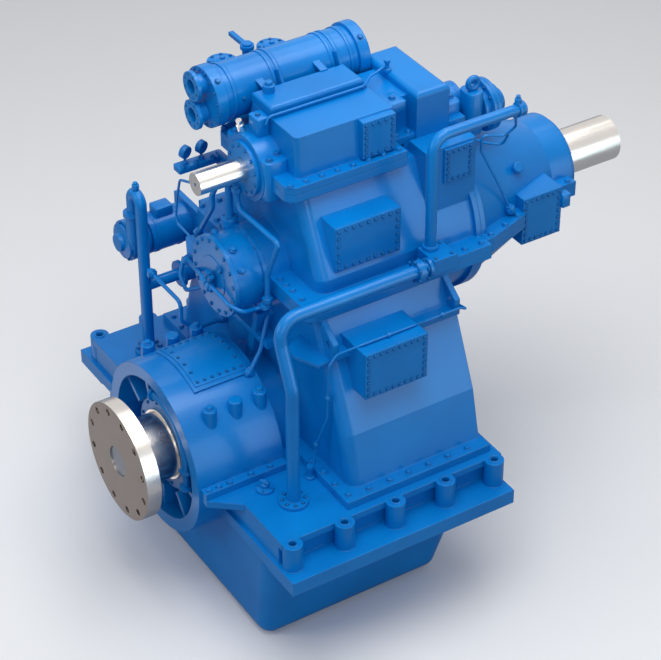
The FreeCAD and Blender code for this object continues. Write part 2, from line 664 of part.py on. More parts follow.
piece("lower_side_covers", group(*both(lambda side: cover_plate(
    side, "low_box_face", "low_box_front", "low_box_rear", "low_box_low", "low_box_high"))))
piece("middle_side_covers", group(*both(lambda side: cover_plate(
    side, "mid_box_face", "mid_box_front", "mid_box_rear", "mid_box_low", "mid_box_high"))))
piece("tower_covers", group(*both(lambda side: side_span(
    side, "tower_half", "tower_half + cover_thick", "tower_hatch_front", "tower_hatch_rear",
    "tower_hatch_low", "tower_hatch_high"))))

# Middle casing between the input shaft and the takeoff shaft

mid_form = rounded(
    prism(mirrored([("mid_foot_half", input_height), ("mid_foot_half", "mid_step"),
                    ("mid_top_half", lid_low)]), "mid_rear - mid_front", "XZ", "mid_front"),
    "case_round", upright("mid_front"))
mid_core = prism(
    mirrored([("mid_foot_half - case_wall", input_height),
              ("mid_foot_half - case_wall", "mid_step"),
              ("mid_top_half - case_wall", lid_low),
              ("mid_top_half - case_wall", takeoff_height)]),
    "mid_rear - mid_front - 2 * case_wall", "XZ", "mid_front + case_wall")
tower = span("0 - tower_half", "tower_half", "mid_rear", "tower_rear", input_height,
             "tower_top")
tower_core = span("tower_wall - tower_half", "tower_half - tower_wall", "mid_rear + tower_wall",
                  "tower_rear - tower_wall", input_height, f"{takeoff_height} - tower_wall")
tower_notch = span("0 - lid_tail_half - run_gap / 5", "lid_tail_half + run_gap / 5",
                   "mid_rear - run_gap", "tower_rear", takeoff_height, "tower_top")


def top_plate(low, thick):
    """The flange plate at the takeoff shaft's level."""
    return prism(mirrored([("top_joint_reach - top_corner", "top_joint_front"),
                           ("top_joint_reach", "top_joint_front + top_corner"),
                           ("top_joint_reach", "top_joint_rear"),
                           ("tail_joint_reach", "top_joint_rear"),
                           ("tail_joint_reach", "joint_rear")]), thick, "XY", low)


def mid_box(side):
    """Side box of the middle casing."""
    return side_span(side, "mid_top_half", "mid_box_face - cover_thick", "mid_box_front",
                     "mid_box_rear", "mid_box_low", "mid_box_high")


def mid_window(side):
    """Opening through the side box."""
    return side_span(side, "mid_top_half - case_wall", "mid_box_face",
                     "mid_box_front + box_wall", "mid_box_rear - box_wall",
                     "mid_box_low + box_wall", "mid_box_high - box_wall")


def tower_window(side):
    """Opening behind the tower's cover."""
    return side_span(side, "tower_half - tower_wall", "tower_half",
                     "tower_hatch_front + box_wall", "tower_hatch_rear - 2 * box_wall",
                     "tower_hatch_low + box_wall", "tower_hatch_high - 3 * box_wall")


takeoff_seat = "(takeoff_journal + oil_film + takeoff_bush_wall)"
takeoff_face = "(takeoff_nose + takeoff_cover_thick)"
takeoff_boss = rod("takeoff_housing_radius", f"mid_front + case_wall - {takeoff_face}", 0,
                   takeoff_face, takeoff_height)
takeoff_tail = rod("takeoff_tail_hub", "takeoff_tail_rear - takeoff_tail_front", 0,
                   "takeoff_tail_front", takeoff_height)
takeoff_bores = [
    rod(takeoff_seat, f"takeoff_seat_rear - {takeoff_face} - bush_inset", 0,
        f"{takeoff_face} + bush_inset", takeoff_height),
    rod("takeoff_body + bush_inset / 2", f"takeoff_tail_front - {takeoff_face} + 2 * bush_inset",
        0, f"{takeoff_face} - bush_inset", takeoff_height),
    rod(takeoff_seat, "takeoff_tail_rear - takeoff_tail_front", 0, "takeoff_tail_front",
        takeoff_height)]
mid_shell = cut(
    join(mid_form, joint_plate(input_height), top_plate(lid_low, "joint_half"), tower,
         *both(mid_box), above(bulge, input_height), above(bulge_ring, input_height)),
    mid_core, tower_core, tower_notch, bulge_core, *both(mid_window), *both(tower_window),
    span("0 - tail_joint_reach / 2", "tail_joint_reach / 2", "mid_rear - case_wall",
         "mid_rear + tower_wall", f"{takeoff_height} - 2 * joint_half", takeoff_height))
mid_whole = join(mid_shell, above(front_boss, input_height), above(inner_boss, input_height),
                 below(takeoff_boss, takeoff_height), below(takeoff_tail, takeoff_height))
piece("middle_casing", cut(mid_whole, *input_bores, *takeoff_bores))

# Top cover over the takeoff shaft


def lid_outline(inset, low, high):
    """The top cover's section: the left side leans in to make room for the oil cooler."""
    share = f"(({high}) - ({low})) / (lid_top - ({low}))"
    return [(f"lid_half - {inset}", low), (f"lid_half - lid_lean - {inset}", high),
            (f"{inset} - tail_joint_reach + (tail_joint_reach - breather_left) * {share}",
             high), (f"{inset} - tail_joint_reach", low)]


lid_form = rounded(prism(lid_outline("0", takeoff_height, "lid_top"), "lid_rear - mid_front",
                         "XZ", "mid_front"), "lid_round", upright("mid_front"))
lid_core = prism(lid_outline("case_wall", takeoff_height, "lid_top - case_wall"),
                 "lid_rear - mid_front - 2 * case_wall", "XZ", "mid_front + case_wall")
lid_throat = span("0 - lid_neck", "lid_neck", "lid_rear - run_gap", "lid_tail_front + run_gap",
                  takeoff_height, "lid_top - joint_half")
lid_tail = rounded(span("0 - lid_tail_half", "lid_tail_half", "lid_tail_front", "lid_tail_rear",
                        takeoff_height, "lid_top"), "lid_round", lambda edge: min(
    edge.Vertexes[0].Point.z, edge.Vertexes[-1].Point.z) > value("lid_top") - 1)
lid_cavity = span("case_wall - lid_neck", "lid_neck - case_wall", "lid_rear - 2 * case_wall",
                  "lid_tail_front + 2 * case_wall", takeoff_height,
                  "lid_top - joint_half - case_wall")
lid_tail_core = span("case_wall - tail_joint_reach", "tail_joint_reach - case_wall",
                     "lid_tail_front + case_wall", "lid_tail_rear - case_wall",
                     takeoff_height, "lid_top - case_wall")
top_box = span("lid_neck", "top_box_face - cover_thick", "top_box_front", "top_box_rear",
               "top_box_low", "top_box_high")
top_window = span("lid_neck", "top_box_face", "top_box_front + box_wall",
                  "top_box_rear - 2 * box_wall", "top_box_low + box_wall",
                  "top_box_high - box_wall")
lid_shell = cut(
    join(lid_form, lid_throat, lid_tail, top_box, top_plate(takeoff_height, "joint_half - 2")),
    lid_core, lid_cavity, lid_tail_core, top_window)
lid_whole = join(lid_shell, above(takeoff_boss, takeoff_height),
                 above(takeoff_tail, takeoff_height))
piece("top_cover", cut(lid_whole, *takeoff_bores))
piece("top_side_cover", span("top_box_face - cover_thick", "top_box_face", "top_box_front",
                             "top_box_rear", "top_box_low", "top_box_high"))
piece("oil_distribution_box", rounded(
    span("0 - breather_left", "breather_right", "mid_front + run_gap", "breather_rear",
         "lid_top", "breather_top"), "lid_round - bush_inset", lambda edge: min(
        edge.Vertexes[0].Point.z, edge.Vertexes[-1].Point.z) > value("breather_top") - 1))

# Clutch housing, split level with the input shaft


def bell_outline(inset, front, rear):
    """The clutch housing's profile as (radius, y)."""
    return [(0, front), (f"bell_radius - {inset}", front),
            (f"bell_shoulder_radius - {inset}", "bell_step"),
            (f"bell_end_radius - {inset}", "bell_taper_rear"),
            (f"bell_end_radius - {inset}", rear), (0, rear)]


bell_form = turned(bell_outline("0", "bell_front", "end_seat_rear"), input_height)
bell_core = turned(bell_outline("bell_wall", "bell_front", "end_seat_front"), input_height)
bell_ring = rod("bell_ring_radius", "bell_ring_thick", 0, "bell_front", input_height)
bell_plate = prism(
    mirrored([("bell_flange_half", "joint_rear - joint_lip"), ("bell_flange_half", "bell_step - 188"),
              ("bell_shoulder_radius + 87", "bell_step"), ("bell_tail_half", "bell_taper_rear"),
              ("bell_tail_half", "end_seat_rear - bell_ring_thick")]),
    "2 * joint_half", "XY", joint_low)


def bell_box(side):
    """Room of a side box on the clutch housing."""
    return side_span(side, "bell_box_inner", "bell_box_face - cover_thick", "bell_box_front",
                     "bell_box_rear", "bell_box_low", "bell_box_high")


bell_room = side_span(1, "bell_box_inner", "2 * bell_flange_half", "bell_box_front",
                      "bell_box_rear", "bell_box_low", "bell_box_high")
bell_plate_open = cut(bell_plate, cut(bell_room, bell_form))
end_seat = "(end_journal + oil_film + bush_wall)"
bell = cut(join(bell_form, bell_ring, bell_plate_open), bell_core,
           rod(end_seat, "end_seat_rear - end_seat_front", 0, "end_seat_front", input_height))
piece("clutch_housing_lower", below(bell, input_height))
piece("clutch_housing_upper", above(bell, input_height))
box_shell = cut(bell_box(1), bell_form)
piece("clutch_housing_box", box_shell)
piece("clutch_housing_cover", side_span(1, "bell_box_face - cover_thick", "bell_box_face",
                                        "bell_box_front", "bell_box_rear", "bell_box_low",
                                        "bell_box_high"))

# Pinion shaft, clutch and input shaft, which turn together while the clutch is in

disc_pitch = "(disc_thick + disc_gap)"
stack_end = f"(disc_start + 2 * disc_count * {disc_pitch})"
drum_wall = "(clutch_radius - clutch_wall)"
drum_rear_face = "(drum_start + clutch_wall + clutch_length)"
input_nose_end = "(input_seat_rear + 3 * bush_inset)"
pinion_shaft = turned([
    (0, "shaft_nose"), ("input_journal", "shaft_nose"), ("input_journal", input_nose_end),
    ("input_body", input_nose_end), ("input_body", "inner_seat_front - bush_inset"),
    ("input_journal", "inner_seat_front - bush_inset"),
    ("input_journal", "inner_seat_rear + bush_inset"),
    ("input_body", "inner_seat_rear + bush_inset"), ("input_body", "drum_start + clutch_wall"),
    ("clutch_hub_radius", "drum_start + clutch_wall"),
    ("clutch_hub_radius", f"{drum_rear_face} - 2 * drum_back"),
    (0, f"{drum_rear_face} - 2 * drum_back")], input_height)
piece("pinion_shaft", pinion_shaft)
piece("clutch_drum", turned([
    ("clutch_radius", "drum_start + clutch_wall"), ("clutch_radius", drum_rear_face),
    ("input_journal", drum_rear_face), ("input_journal", f"{drum_rear_face} - drum_back"),
    (drum_wall, f"{drum_rear_face} - drum_back"), (drum_wall, "drum_start + clutch_wall")],
    input_height))
piece("clutch_backing_ring", tube("clutch_radius", "clutch_hub_radius + bush_inset",
                                  "clutch_wall", 0, "drum_start", input_height))
piece("clutch_outer_discs", group(*[
    tube(f"{drum_wall} - spline_gap", "clutch_hub_radius + bush_inset", "disc_thick", 0,
         f"disc_start + {2 * k} * {disc_pitch}", input_height)
    for k in range(sizes["disc_count"])]))
piece("clutch_inner_discs", group(*[
    tube(f"{drum_wall} - bush_inset", "clutch_hub_radius + spline_gap", "disc_thick", 0,
         f"disc_start + {2 * k + 1} * {disc_pitch}", input_height)
    for k in range(sizes["disc_count"])]))
piece("clutch_piston", tube(f"{drum_wall} - spline_gap", "clutch_hub_radius + spline_gap",
                            "piston_thick", 0, f"{stack_end} - disc_gap + spline_gap",
                            input_height))
cap_front = "end_seat_rear"
piece("input_shaft", turned([
    (0, f"{drum_rear_face} - drum_back"), ("input_journal", f"{drum_rear_face} - drum_back"),
    ("input_journal", drum_rear_face), ("flange_radius", drum_rear_face),
    ("flange_radius", f"{drum_rear_face} + drum_back"),
    ("end_journal", f"{drum_rear_face} + drum_back"),
    ("end_journal", "end_seat_rear + seal_cap_thick"),
    ("input_radius", "end_seat_rear + seal_cap_thick"), ("input_radius", "input_end"),
    (0, "input_end")], input_height))
piece("input_bushes", group(*[
    halves(tube(outer, f"{journal} + oil_film", f"{rear} - ({front})", 0, front,
                input_height), input_height)
    for front, rear, journal, outer in (
        ("input_seat_front", "input_seat_rear", "input_journal", input_seat),
        ("inner_seat_front + bush_inset", "inner_seat_rear - bush_inset", "input_journal",
         input_seat),
        ("end_seat_front + bush_inset", "end_seat_rear - bush_inset", "end_journal",
         end_seat))]))
piece("input_seal_cover", tube("bell_end_radius - bell_wall", "end_journal + run_gap / 5",
                               "seal_cap_thick - 3", 0, cap_front, input_height))
housing_front = "(input_nose + input_cover_thick)"
piece("input_housing", turned([
    ("input_housing_radius", "input_housing_rear"),
    ("input_housing_radius", "input_housing_rear - input_housing_flange"),
    ("input_housing_radius - input_housing_wall / 5",
     "input_housing_rear - input_housing_flange"),
    ("input_housing_radius - input_housing_wall / 5", housing_front),
    ("input_housing_radius - input_housing_wall", housing_front),
    ("input_housing_radius - input_housing_wall", "input_housing_rear")], input_height))
piece("input_front_cover", rod("input_housing_radius", "input_cover_thick", 0, "input_nose",
                               input_height))

# Takeoff shaft for the generator

piece("takeoff_shaft", turned([
    (0, "takeoff_end"), ("takeoff_radius", "takeoff_end"), ("takeoff_radius", takeoff_face),
    ("takeoff_journal", takeoff_face), ("takeoff_journal", "takeoff_seat_rear + bush_inset"),
    ("takeoff_body", "takeoff_seat_rear + bush_inset"),
    ("takeoff_body", "takeoff_tail_front - bush_inset"),
    ("takeoff_journal", "takeoff_tail_front - bush_inset"),
    ("takeoff_journal", "takeoff_tail_rear - bush_inset"),
    (0, "takeoff_tail_rear - bush_inset")], takeoff_height))
piece("takeoff_bushes", group(*[
    halves(tube(takeoff_seat, "takeoff_journal + oil_film", length, 0, front, takeoff_height),
           takeoff_height)
    for front, length in (
        (f"{takeoff_face} + 2 * bush_inset",
         f"takeoff_seat_rear - {takeoff_face} - 2 * bush_inset"),
        ("takeoff_tail_front", "takeoff_tail_rear - takeoff_tail_front - bush_inset"))]))
piece("takeoff_seal_cover", tube("takeoff_cover_radius", "takeoff_radius + run_gap / 5",
                                 "takeoff_cover_thick", 0, "takeoff_nose", takeoff_height))
piece("takeoff_rear_cover", rod("takeoff_tail_hub", "takeoff_cover_thick", 0,
                                "takeoff_tail_rear", takeoff_height))

# Oil cooler on its two feet


def cooler_rod(radius, length, front):
    """A round piece on the cooler's axis."""
    return rod(radius, length, "0 - cooler_out", front, "cooler_height")


piece("oil_cooler_shell", cooler_rod("cooler_radius", "cooler_rear - cooler_front",
                                     "cooler_front"))
ports = []
port_bores = []
for side in (1, -1):
    level = f"cooler_height + {side} * water_offset"
    ports.append(rod("water_port + port_wall", "cooler_front - cooler_head_long - water_face",
                     "0 - cooler_out", "water_face", level))
    ports.append(rod("water_flange", "pipe_flange_thick", "0 - cooler_out", "water_face", level))
    port_bores.append(rod("water_bore", "cooler_front - water_face - port_wall", "0 - cooler_out",
                          "water_face", level))
    port_bores += circle_of(sizes["water_holes"], "water_circle", "water_hole", "water_face",
                            "pipe_flange_thick", level, 0.5, "0 - cooler_out")
piece("cooler_front_head", cut(join(
    cooler_rod("cooler_head", "cooler_head_long", "cooler_front - cooler_head_long"), *ports),
    *port_bores))
piece("cooler_rear_head", cooler_rod("cooler_head", "cooler_head_long", "cooler_rear"))
foot_corners = [
    ("0 - top_joint_reach - 40", f"{takeoff_height} + joint_half - 2"),
    ("0 - tail_joint_reach - 15", f"{takeoff_height} + joint_half - 2"),
    ("0 - breather_left - 15", "lid_top + run_gap"), ("0 - breather_left", "lid_top + run_gap"),
    ("0 - breather_left", "breather_top - bush_inset"),
    ("0 - breather_left - 40", "breather_top + 60"),
    ("0 - top_joint_reach - 150", "cooler_height - 40")]
piece("cooler_feet", group(*[
    cut(prism(foot_corners, "cooler_foot_thick", "XZ", front),
        cooler_rod("cooler_radius", "cooler_foot_thick", front))
    for front in ("cooler_foot_front", "cooler_foot_rear")]))

# Duplex oil filter on a bracket of the casing's flange

filters = []
lids = []
for front in ("filter_front", "filter_rear"):
    filters.append(rod("filter_radius", "filter_tall - filter_lid_thick", "0 - filter_out", front,
                       filter_foot, "Z"))
    lids.append(rod("filter_lid", "filter_lid_thick", "0 - filter_out", front,
                    f"{filter_top} - filter_lid_thick", "Z"))
post_foot = f"({filter_top} - bridge_drop)"
filters.append(span("0 - filter_out - bridge_half", "bridge_half - filter_out", "filter_front",
                    "filter_rear", f"{filter_foot} + bridge_rise", post_foot))
middle_filter = "(filter_front + filter_rear) / 2"


def filter_post(radius, height, level):
    """An upright round piece on the filter's changeover axis."""
    return rod(radius, height, "0 - filter_out", middle_filter, level, "Z")


filters += [
    filter_post("post_radius + post_lip", "post_high", post_foot),
    filter_post("post_radius", "post_high + lever_thick + 2 * side_play", post_foot),
    filter_post("post_radius + post_lip", "lever_thick / 2",
                f"{post_foot} + post_high + lever_thick + 2 * side_play")]
piece("filter_body", join(*filters))
piece("filter_lids", group(*lids))
lever_low = f"({post_foot} + post_high + side_play)"
piece("changeover_lever", cut(
    join(filter_post("post_radius + lever_eye", "lever_thick", lever_low),
         span("0 - filter_out - lever_reach", "0 - filter_out",
              f"{middle_filter} - lever_width / 2", f"{middle_filter} + lever_width / 2",
              lever_low, f"{lever_low} + lever_thick")),
    filter_post("post_radius + oil_film", "lever_thick", lever_low)))
piece("filter_bracket", span("0 - filter_out - filter_radius - post_lip", "0 - top_joint_reach",
                             "filter_front - filter_margin", "filter_rear + filter_margin",
                             f"{filter_foot} - filter_plate", filter_foot))

# Pipes of steel: straight runs joined by bends


def pipe(radius, bend, *points):
    """A round pipe along straight runs, with each corner turned on one radius."""
    spots = [FreeCAD.Vector(*(value(part) for part in point)) for point in points]
    edges = []
    start = spots[0]
    for before, corner, after in zip(spots, spots[1:], spots[2:]):
        inward = (corner - before).normalize()
        outward = (after - corner).normalize()
        turn = inward.getAngle(outward)
        reach = value(bend) * math.tan(turn / 2)
        first = corner - inward * reach
        last = corner + outward * reach
        crown = (outward - inward).normalize()
        middle = corner + crown * (value(bend) / math.cos(turn / 2) - value(bend))
        edges.append(Part.LineSegment(start, first).toShape())
        edges.append(Part.Arc(first, middle, last).toShape())
        start = last
    edges.append(Part.LineSegment(start, spots[-1]).toShape())
    route = Part.Wire(edges)
    heading = spots[1] - spots[0]
    ring = Part.Wire([Part.makeCircle(value(radius), spots[0], heading)])
    item = doc.addObject("Part::Feature", "pipe")
    item.Shape = route.makePipeShell([ring], True, False)
    return item


def flange_at(x, y, z, along, radius="pipe_flange"):
    """A round pipe flange."""
    return rod(radius, "pipe_flange_thick", x, y, z, along)


supply = pipe("pipe_radius", "3 * pipe_radius", ("supply_x", "supply_y", 0),
              ("supply_x", "supply_y", "supply_knee"), ("supply_lean", "supply_y", "supply_bend"),
              ("supply_run", "supply_y", "supply_height"),
              ("supply_run", "valve_front", "supply_height"))
piece("supply_pipe", join(
    supply, flange_at("supply_x", "supply_y", 0, "Z"),
    rod("pipe_radius + union_lip", "2 * pipe_flange_thick", "supply_run", "union_front",
        "supply_height"),
    rod("pipe_radius + end_lip", "pipe_flange_thick", "supply_run",
        "valve_front - pipe_flange_thick", "supply_height")))
piece("valve_block", join(
    span("joint_reach - 42", "supply_run + 47", "valve_front", "valve_rear", "valve_low",
         "valve_high"),
    span("joint_reach - 62", "joint_reach - 5", "valve_front + 20", "valve_rear - 20",
         joint_high, "valve_low + 10")))
control = pipe("riser_radius", "3 * riser_radius", ("control_x", "control_y", "valve_high"),
               ("control_x", "control_y", "control_height"),
               ("control_x", "control_end", "control_height"))
piece("control_pipe", join(
    control, rod("riser_radius + riser_lip", "pipe_flange_thick", "control_x", "control_y",
                 "valve_high", "Z"),
    rod("riser_radius + riser_end_lip", "pipe_flange_thick", "control_x", "control_end",
        "control_height")))

# Standby oil pump with its motor, on a bracket of the main casing

second_leg = "(0 - suction_x - suction_spacing)"
suction = pipe("suction_radius", "suction_spacing / 2 - 0.01",
               ("0 - suction_x", "suction_y", 0), ("0 - suction_x", "suction_y", "suction_top"),
               (second_leg, "suction_y", "suction_top"), (second_leg, "suction_y", "pump_neck"))
branch = rod("suction_radius", "branch_end - suction_y", "0 - suction_x", "suction_y",
             "branch_height")
piece("suction_pipe", join(
    suction, branch, flange_at("0 - suction_x", "suction_y", 0, "Z"),
    flange_at("0 - suction_x", "branch_end - pipe_flange_thick", "branch_height", "Y",
              "pipe_flange - 5"),
    flange_at(second_leg, "suction_y", "pump_neck", "Z", "suction_radius + neck_lip")))
piece("standby_pump", join(
    rod("pump_radius", "pump_rear - pump_front", "0 - pump_out", "pump_front", "pump_height"),
    rod("suction_radius + 12", "pump_neck - pump_height", second_leg, "suction_y",
        "pump_height", "Z"),
    rod("motor_radius - motor_shell", "motor_rear - pump_rear", "0 - pump_out", "pump_rear",
        "pump_height")))
piece("pump_motor", cut(
    rod("motor_radius", "motor_rear - pump_rear - motor_gap", "0 - pump_out",
        "pump_rear + motor_gap", "pump_height"),
    rod("motor_radius - motor_shell", "motor_rear - pump_rear", "0 - pump_out", "pump_rear",
        "pump_height")))
piece("pump_bracket", cut(
    span("0 - pump_out - motor_radius", "0 - mid_foot_half", "motor_rear",
         "motor_rear + bracket_thick", "pump_height - bracket_half",
         "pump_height + bracket_half"), case_form, shelf, *both(low_box)))

# Nothing is written unless every object is sound

doc.recompute()
for item in doc.Objects:
    if "Invalid" in item.State or "Error" in item.State:
        raise SystemExit(f"{item.Name} under {item.Label} failed: {item.State}")
for item in pieces:
    if item.Shape.isNull() or not item.Shape.isValid():
        raise SystemExit(f"{item.Label} has no valid shape")
os.makedirs("parts", exist_ok=True)
for item in pieces:
    item.Shape.exportStep(f"parts/{item.Label}.step")
    print(item.Label, len(item.Shape.Solids), round(item.Shape.Volume / 1e6, 3))
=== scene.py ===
import json
import math

import bmesh
import bpy
import numpy as np
from mathutils import Matrix, Vector


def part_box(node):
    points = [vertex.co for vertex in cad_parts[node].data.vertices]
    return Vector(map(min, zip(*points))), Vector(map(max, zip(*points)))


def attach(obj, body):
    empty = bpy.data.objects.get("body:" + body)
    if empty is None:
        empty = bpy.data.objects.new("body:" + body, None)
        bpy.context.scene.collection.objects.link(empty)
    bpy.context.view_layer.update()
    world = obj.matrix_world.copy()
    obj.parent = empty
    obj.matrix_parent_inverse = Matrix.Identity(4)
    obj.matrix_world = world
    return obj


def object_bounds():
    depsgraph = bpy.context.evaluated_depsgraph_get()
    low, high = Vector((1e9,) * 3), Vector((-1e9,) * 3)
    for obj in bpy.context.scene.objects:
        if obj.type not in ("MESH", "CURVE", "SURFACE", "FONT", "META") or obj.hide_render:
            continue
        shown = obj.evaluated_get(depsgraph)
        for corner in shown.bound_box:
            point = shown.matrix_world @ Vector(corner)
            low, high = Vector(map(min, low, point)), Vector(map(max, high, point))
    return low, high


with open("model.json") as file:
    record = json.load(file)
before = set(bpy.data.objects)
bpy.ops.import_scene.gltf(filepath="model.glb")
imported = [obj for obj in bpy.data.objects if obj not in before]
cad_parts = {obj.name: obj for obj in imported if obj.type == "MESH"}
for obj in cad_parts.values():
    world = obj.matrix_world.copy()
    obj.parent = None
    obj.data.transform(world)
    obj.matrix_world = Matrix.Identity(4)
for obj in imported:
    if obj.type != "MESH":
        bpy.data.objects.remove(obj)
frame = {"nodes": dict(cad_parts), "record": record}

cadBox = [list(corner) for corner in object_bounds()]
nodes = frame["nodes"]
print("frame loaded,", len(nodes), "pieces")

# camera where the photograph was taken from
cameraSettings = {
    "place": (9.5195, -4.4882, 8.6729),   # metres from the output flange's centre
    "azimuth": 57.866,                    # degrees from the front towards the right side
    "elevation": 36.421,
    "roll": -0.128,
    "focalPixels": 2288.25,
    "imageWidth": 661,
    "sensorWidth": 36.0,
}


def makeCamera(s):
    # the camera's axes from its azimuth, elevation and roll
    a, e, r = (math.radians(s[k]) for k in ("azimuth", "elevation", "roll"))
    back = Vector((math.sin(a) * math.cos(e), -math.cos(a) * math.cos(e), math.sin(e)))
    level = Vector((math.cos(a), math.sin(a), 0))
    above = back.cross(level)
    right = math.cos(r) * level + math.sin(r) * above
    up = math.cos(r) * above - math.sin(r) * level
    data = bpy.data.cameras.new("camera")
    data.sensor_width = s["sensorWidth"]
    data.lens = s["focalPixels"] / s["imageWidth"] * s["sensorWidth"]
    data.clip_end = 100
    camera = bpy.data.objects.new("camera", data)
    turn = Matrix((right, up, back)).transposed().to_4x4()
    camera.matrix_world = Matrix.Translation(s["place"]) @ turn
    bpy.context.scene.collection.objects.link(camera)
    bpy.context.scene.camera = camera


makeCamera(cameraSettings)

# plain studio: pale floor, even sky, soft lamps
studioSettings = {
    "floorLevel": cadBox[0][2],
    "floorSize": 60.0,
    "floorColour": (0.86, 0.87, 0.88, 1),
    "floorBounce": (0.34, 0.37, 0.42, 1),  # for scattered and mirrored rays
    "floorRoughness": 0.8,
    "skyColour": (0.93, 0.95, 1.0, 1),
    "skyStrength": 0.38,
    "skySeen": 0.78,                      # for rays from the camera, mirrored or through glass
    "lamps": (                            # place, size, watts
        ((1.8, 0.6, 8.6), 6.5, 460),
        ((-2.8, 4.6, 8.8), 5.0, 165),
        ((8.0, -2.5, 4.5), 3.0, 90),
        ((-2.5, -7.5, 4.5), 3.5, 135),
    ),
    "lampTarget": (0, 1.5, 0.7),
    "sheens": (                           # seen in gloss only: place, size, watts, colour, aim
        ((5.8, 4.3, 1.3), 4.4, 175, (0.68, 0.88, 1.0), (0, 1.5, 0.7)),
        ((-1.6, -1.35, -0.93), 2.5, 15.5, (1.0, 0.9, 0.84), (-1.6, -1.35, 2.0)),
        ((0.9, 4.6, 9.0), 4.0, 190, (0.94, 0.96, 1.0), (0, 1.5, 0.7)),
    ),
}


def seenRays(tree, *kinds):
    # 1 for rays of the kinds named, 0 for all others: the highest of their outputs
    ray = tree.nodes.new("ShaderNodeLightPath")
    found = ray.outputs[kinds[0]]
    for kind in kinds[1:]:
        either = tree.nodes.new("ShaderNodeMath")
        either.operation = "MAXIMUM"
        tree.links.new(found, either.inputs[0])
        tree.links.new(ray.outputs[kind], either.inputs[1])
        found = either.outputs[0]
    return found


def makeFloor(s):
    # a square at the object's lowest level: pale in the picture, darker in its bounce
    half = s["floorSize"] / 2
    mesh = bpy.data.meshes.new("floor")
    mesh.from_pydata([(-half, -half, 0), (half, -half, 0), (half, half, 0), (-half, half, 0)],
                     [], [(0, 1, 2, 3)])
    mesh.transform(Matrix.Translation((0, 0, s["floorLevel"])))
    floor = bpy.data.objects.new("floor", mesh)
    bpy.context.scene.collection.objects.link(floor)
    paint = bpy.data.materials.new("floorPaint")
    paint.use_nodes = True
    tree = paint.node_tree
    shader = tree.nodes["Principled BSDF"]
    tone = tree.nodes.new("ShaderNodeMix")
    tone.data_type = "RGBA"
    tree.links.new(seenRays(tree, "Is Camera Ray", "Is Transmission Ray"), tone.inputs[0])
    tone.inputs[6].default_value = s["floorBounce"]
    tone.inputs[7].default_value = s["floorColour"]
    tree.links.new(tone.outputs[2], shader.inputs["Base Color"])
    shader.inputs["Roughness"].default_value = s["floorRoughness"]
    mesh.materials.append(paint)


def makeSky(s):
    # one even colour all round, stronger where it is seen than in scattered light
    world = bpy.data.worlds.new("sky")
    bpy.context.scene.world = world
    world.use_nodes = True
    tree = world.node_tree
    sky = tree.nodes["Background"]
    sky.inputs["Color"].default_value = s["skyColour"]
    strength = tree.nodes.new("ShaderNodeMapRange")
    strength.inputs["To Min"].default_value = s["skyStrength"]
    strength.inputs["To Max"].default_value = s["skySeen"]
    seen = seenRays(tree, "Is Camera Ray", "Is Glossy Ray", "Is Transmission Ray")
    tree.links.new(seen, strength.inputs["Value"])
    tree.links.new(strength.outputs["Result"], sky.inputs["Strength"])


def makeLamps(s):
    # square lamps turned to their aim: the sheens light gloss only
    plain = [(*lamp, (1, 1, 1), s["lampTarget"]) for lamp in s["lamps"]]
    for number, (place, size, watts, colour, aim) in enumerate([*plain, *s["sheens"]]):
        lamp = bpy.data.lights.new(f"lamp{number}", "AREA")
        lamp.color = colour
        lamp.size = size
        lamp.energy = watts
        holder = bpy.data.objects.new(f"lamp{number}", lamp)
        toward = Vector(aim) - Vector(place)
        holder.matrix_world = (Matrix.Translation(place)
                               @ toward.to_track_quat("-Z", "Y").to_matrix().to_4x4())
        holder.visible_diffuse = holder.visible_camera = number < len(plain)
        bpy.context.scene.collection.objects.link(holder)


makeFloor(studioSettings)
makeSky(studioSettings)
makeLamps(studioSettings)
bpy.context.scene.view_settings.view_transform = "Standard"
print("camera and studio ready")

# finishes

paintSettings = {
    "colour": (0.0, 0.215, 0.64, 1),
    "deepColour": (0.0, 0.18, 0.56, 1),
    "boltColour": (0.0, 0.17, 0.52, 1),
    "boltDeep": (0.0, 0.14, 0.44, 1),
    "spigotColour": (0.10, 0.13, 0.18, 1),
    "spigotDeep": (0.08, 0.11, 0.16, 1),
    "roughness": 0.3,
    "specular": 0.25,
    "coat": 0.12,
    "coatRoughness": 0.12,
    "edgeRadius": 0.009,                  # how far paint rounds an edge, metres
    "peelScale": 90,
    "peelStrength": 0.02,
    "peelDepth": 0.004,
    "cloudScale": 2.2,
    "cloudSpan": (0.35, 0.65),            # where the deep tone ends and the light one begins
}
steelSettings = {
    "tones": {                            # colour, roughness
        "shaftSteel": ((0.88, 0.81, 0.73, 1), 0.24),
        "gearSteel": ((0.5, 0.5, 0.51, 1), 0.3),
        "clutchSteel": ((0.4, 0.39, 0.38, 1), 0.36),
        "bearingMetal": ((0.62, 0.55, 0.42, 1), 0.38),
    },
    "uneven": (-0.06, 0.08),              # how far the roughness strays
    "smearScale": 6.0,
    "ringScale": 160,                     # turning marks per metre along the shaft
    "ringStrength": 0.05,
    "faceShadeColour": (0.09, 0.073, 0.062, 1),  # painted shade: the coupling flange's front face darkened to stand in for its dark reflection
    "faceDepth": 0.1,
    "faceNormal": -0.9,                   # a surface looks forward below this share of Y
}


def newMaterial(name):
    # a material, its node tree and its shader
    material = bpy.data.materials.new(name)
    material.use_nodes = True
    return material, material.node_tree, material.node_tree.nodes["Principled BSDF"]


def link(tree, source, socket, target, name):
    # one node's output to another node's input
    tree.links.new(source.outputs[socket], target.inputs[name])


def addNode(tree, kind, **values):
    # a node with its values: a name that isn't the node's own is one of its inputs
    node = tree.nodes.new(kind)
    for name, value in values.items():
        if hasattr(node, name):
            setattr(node, name, value)
        else:
            node.inputs[name.replace("_", " ")].default_value = value
    return node


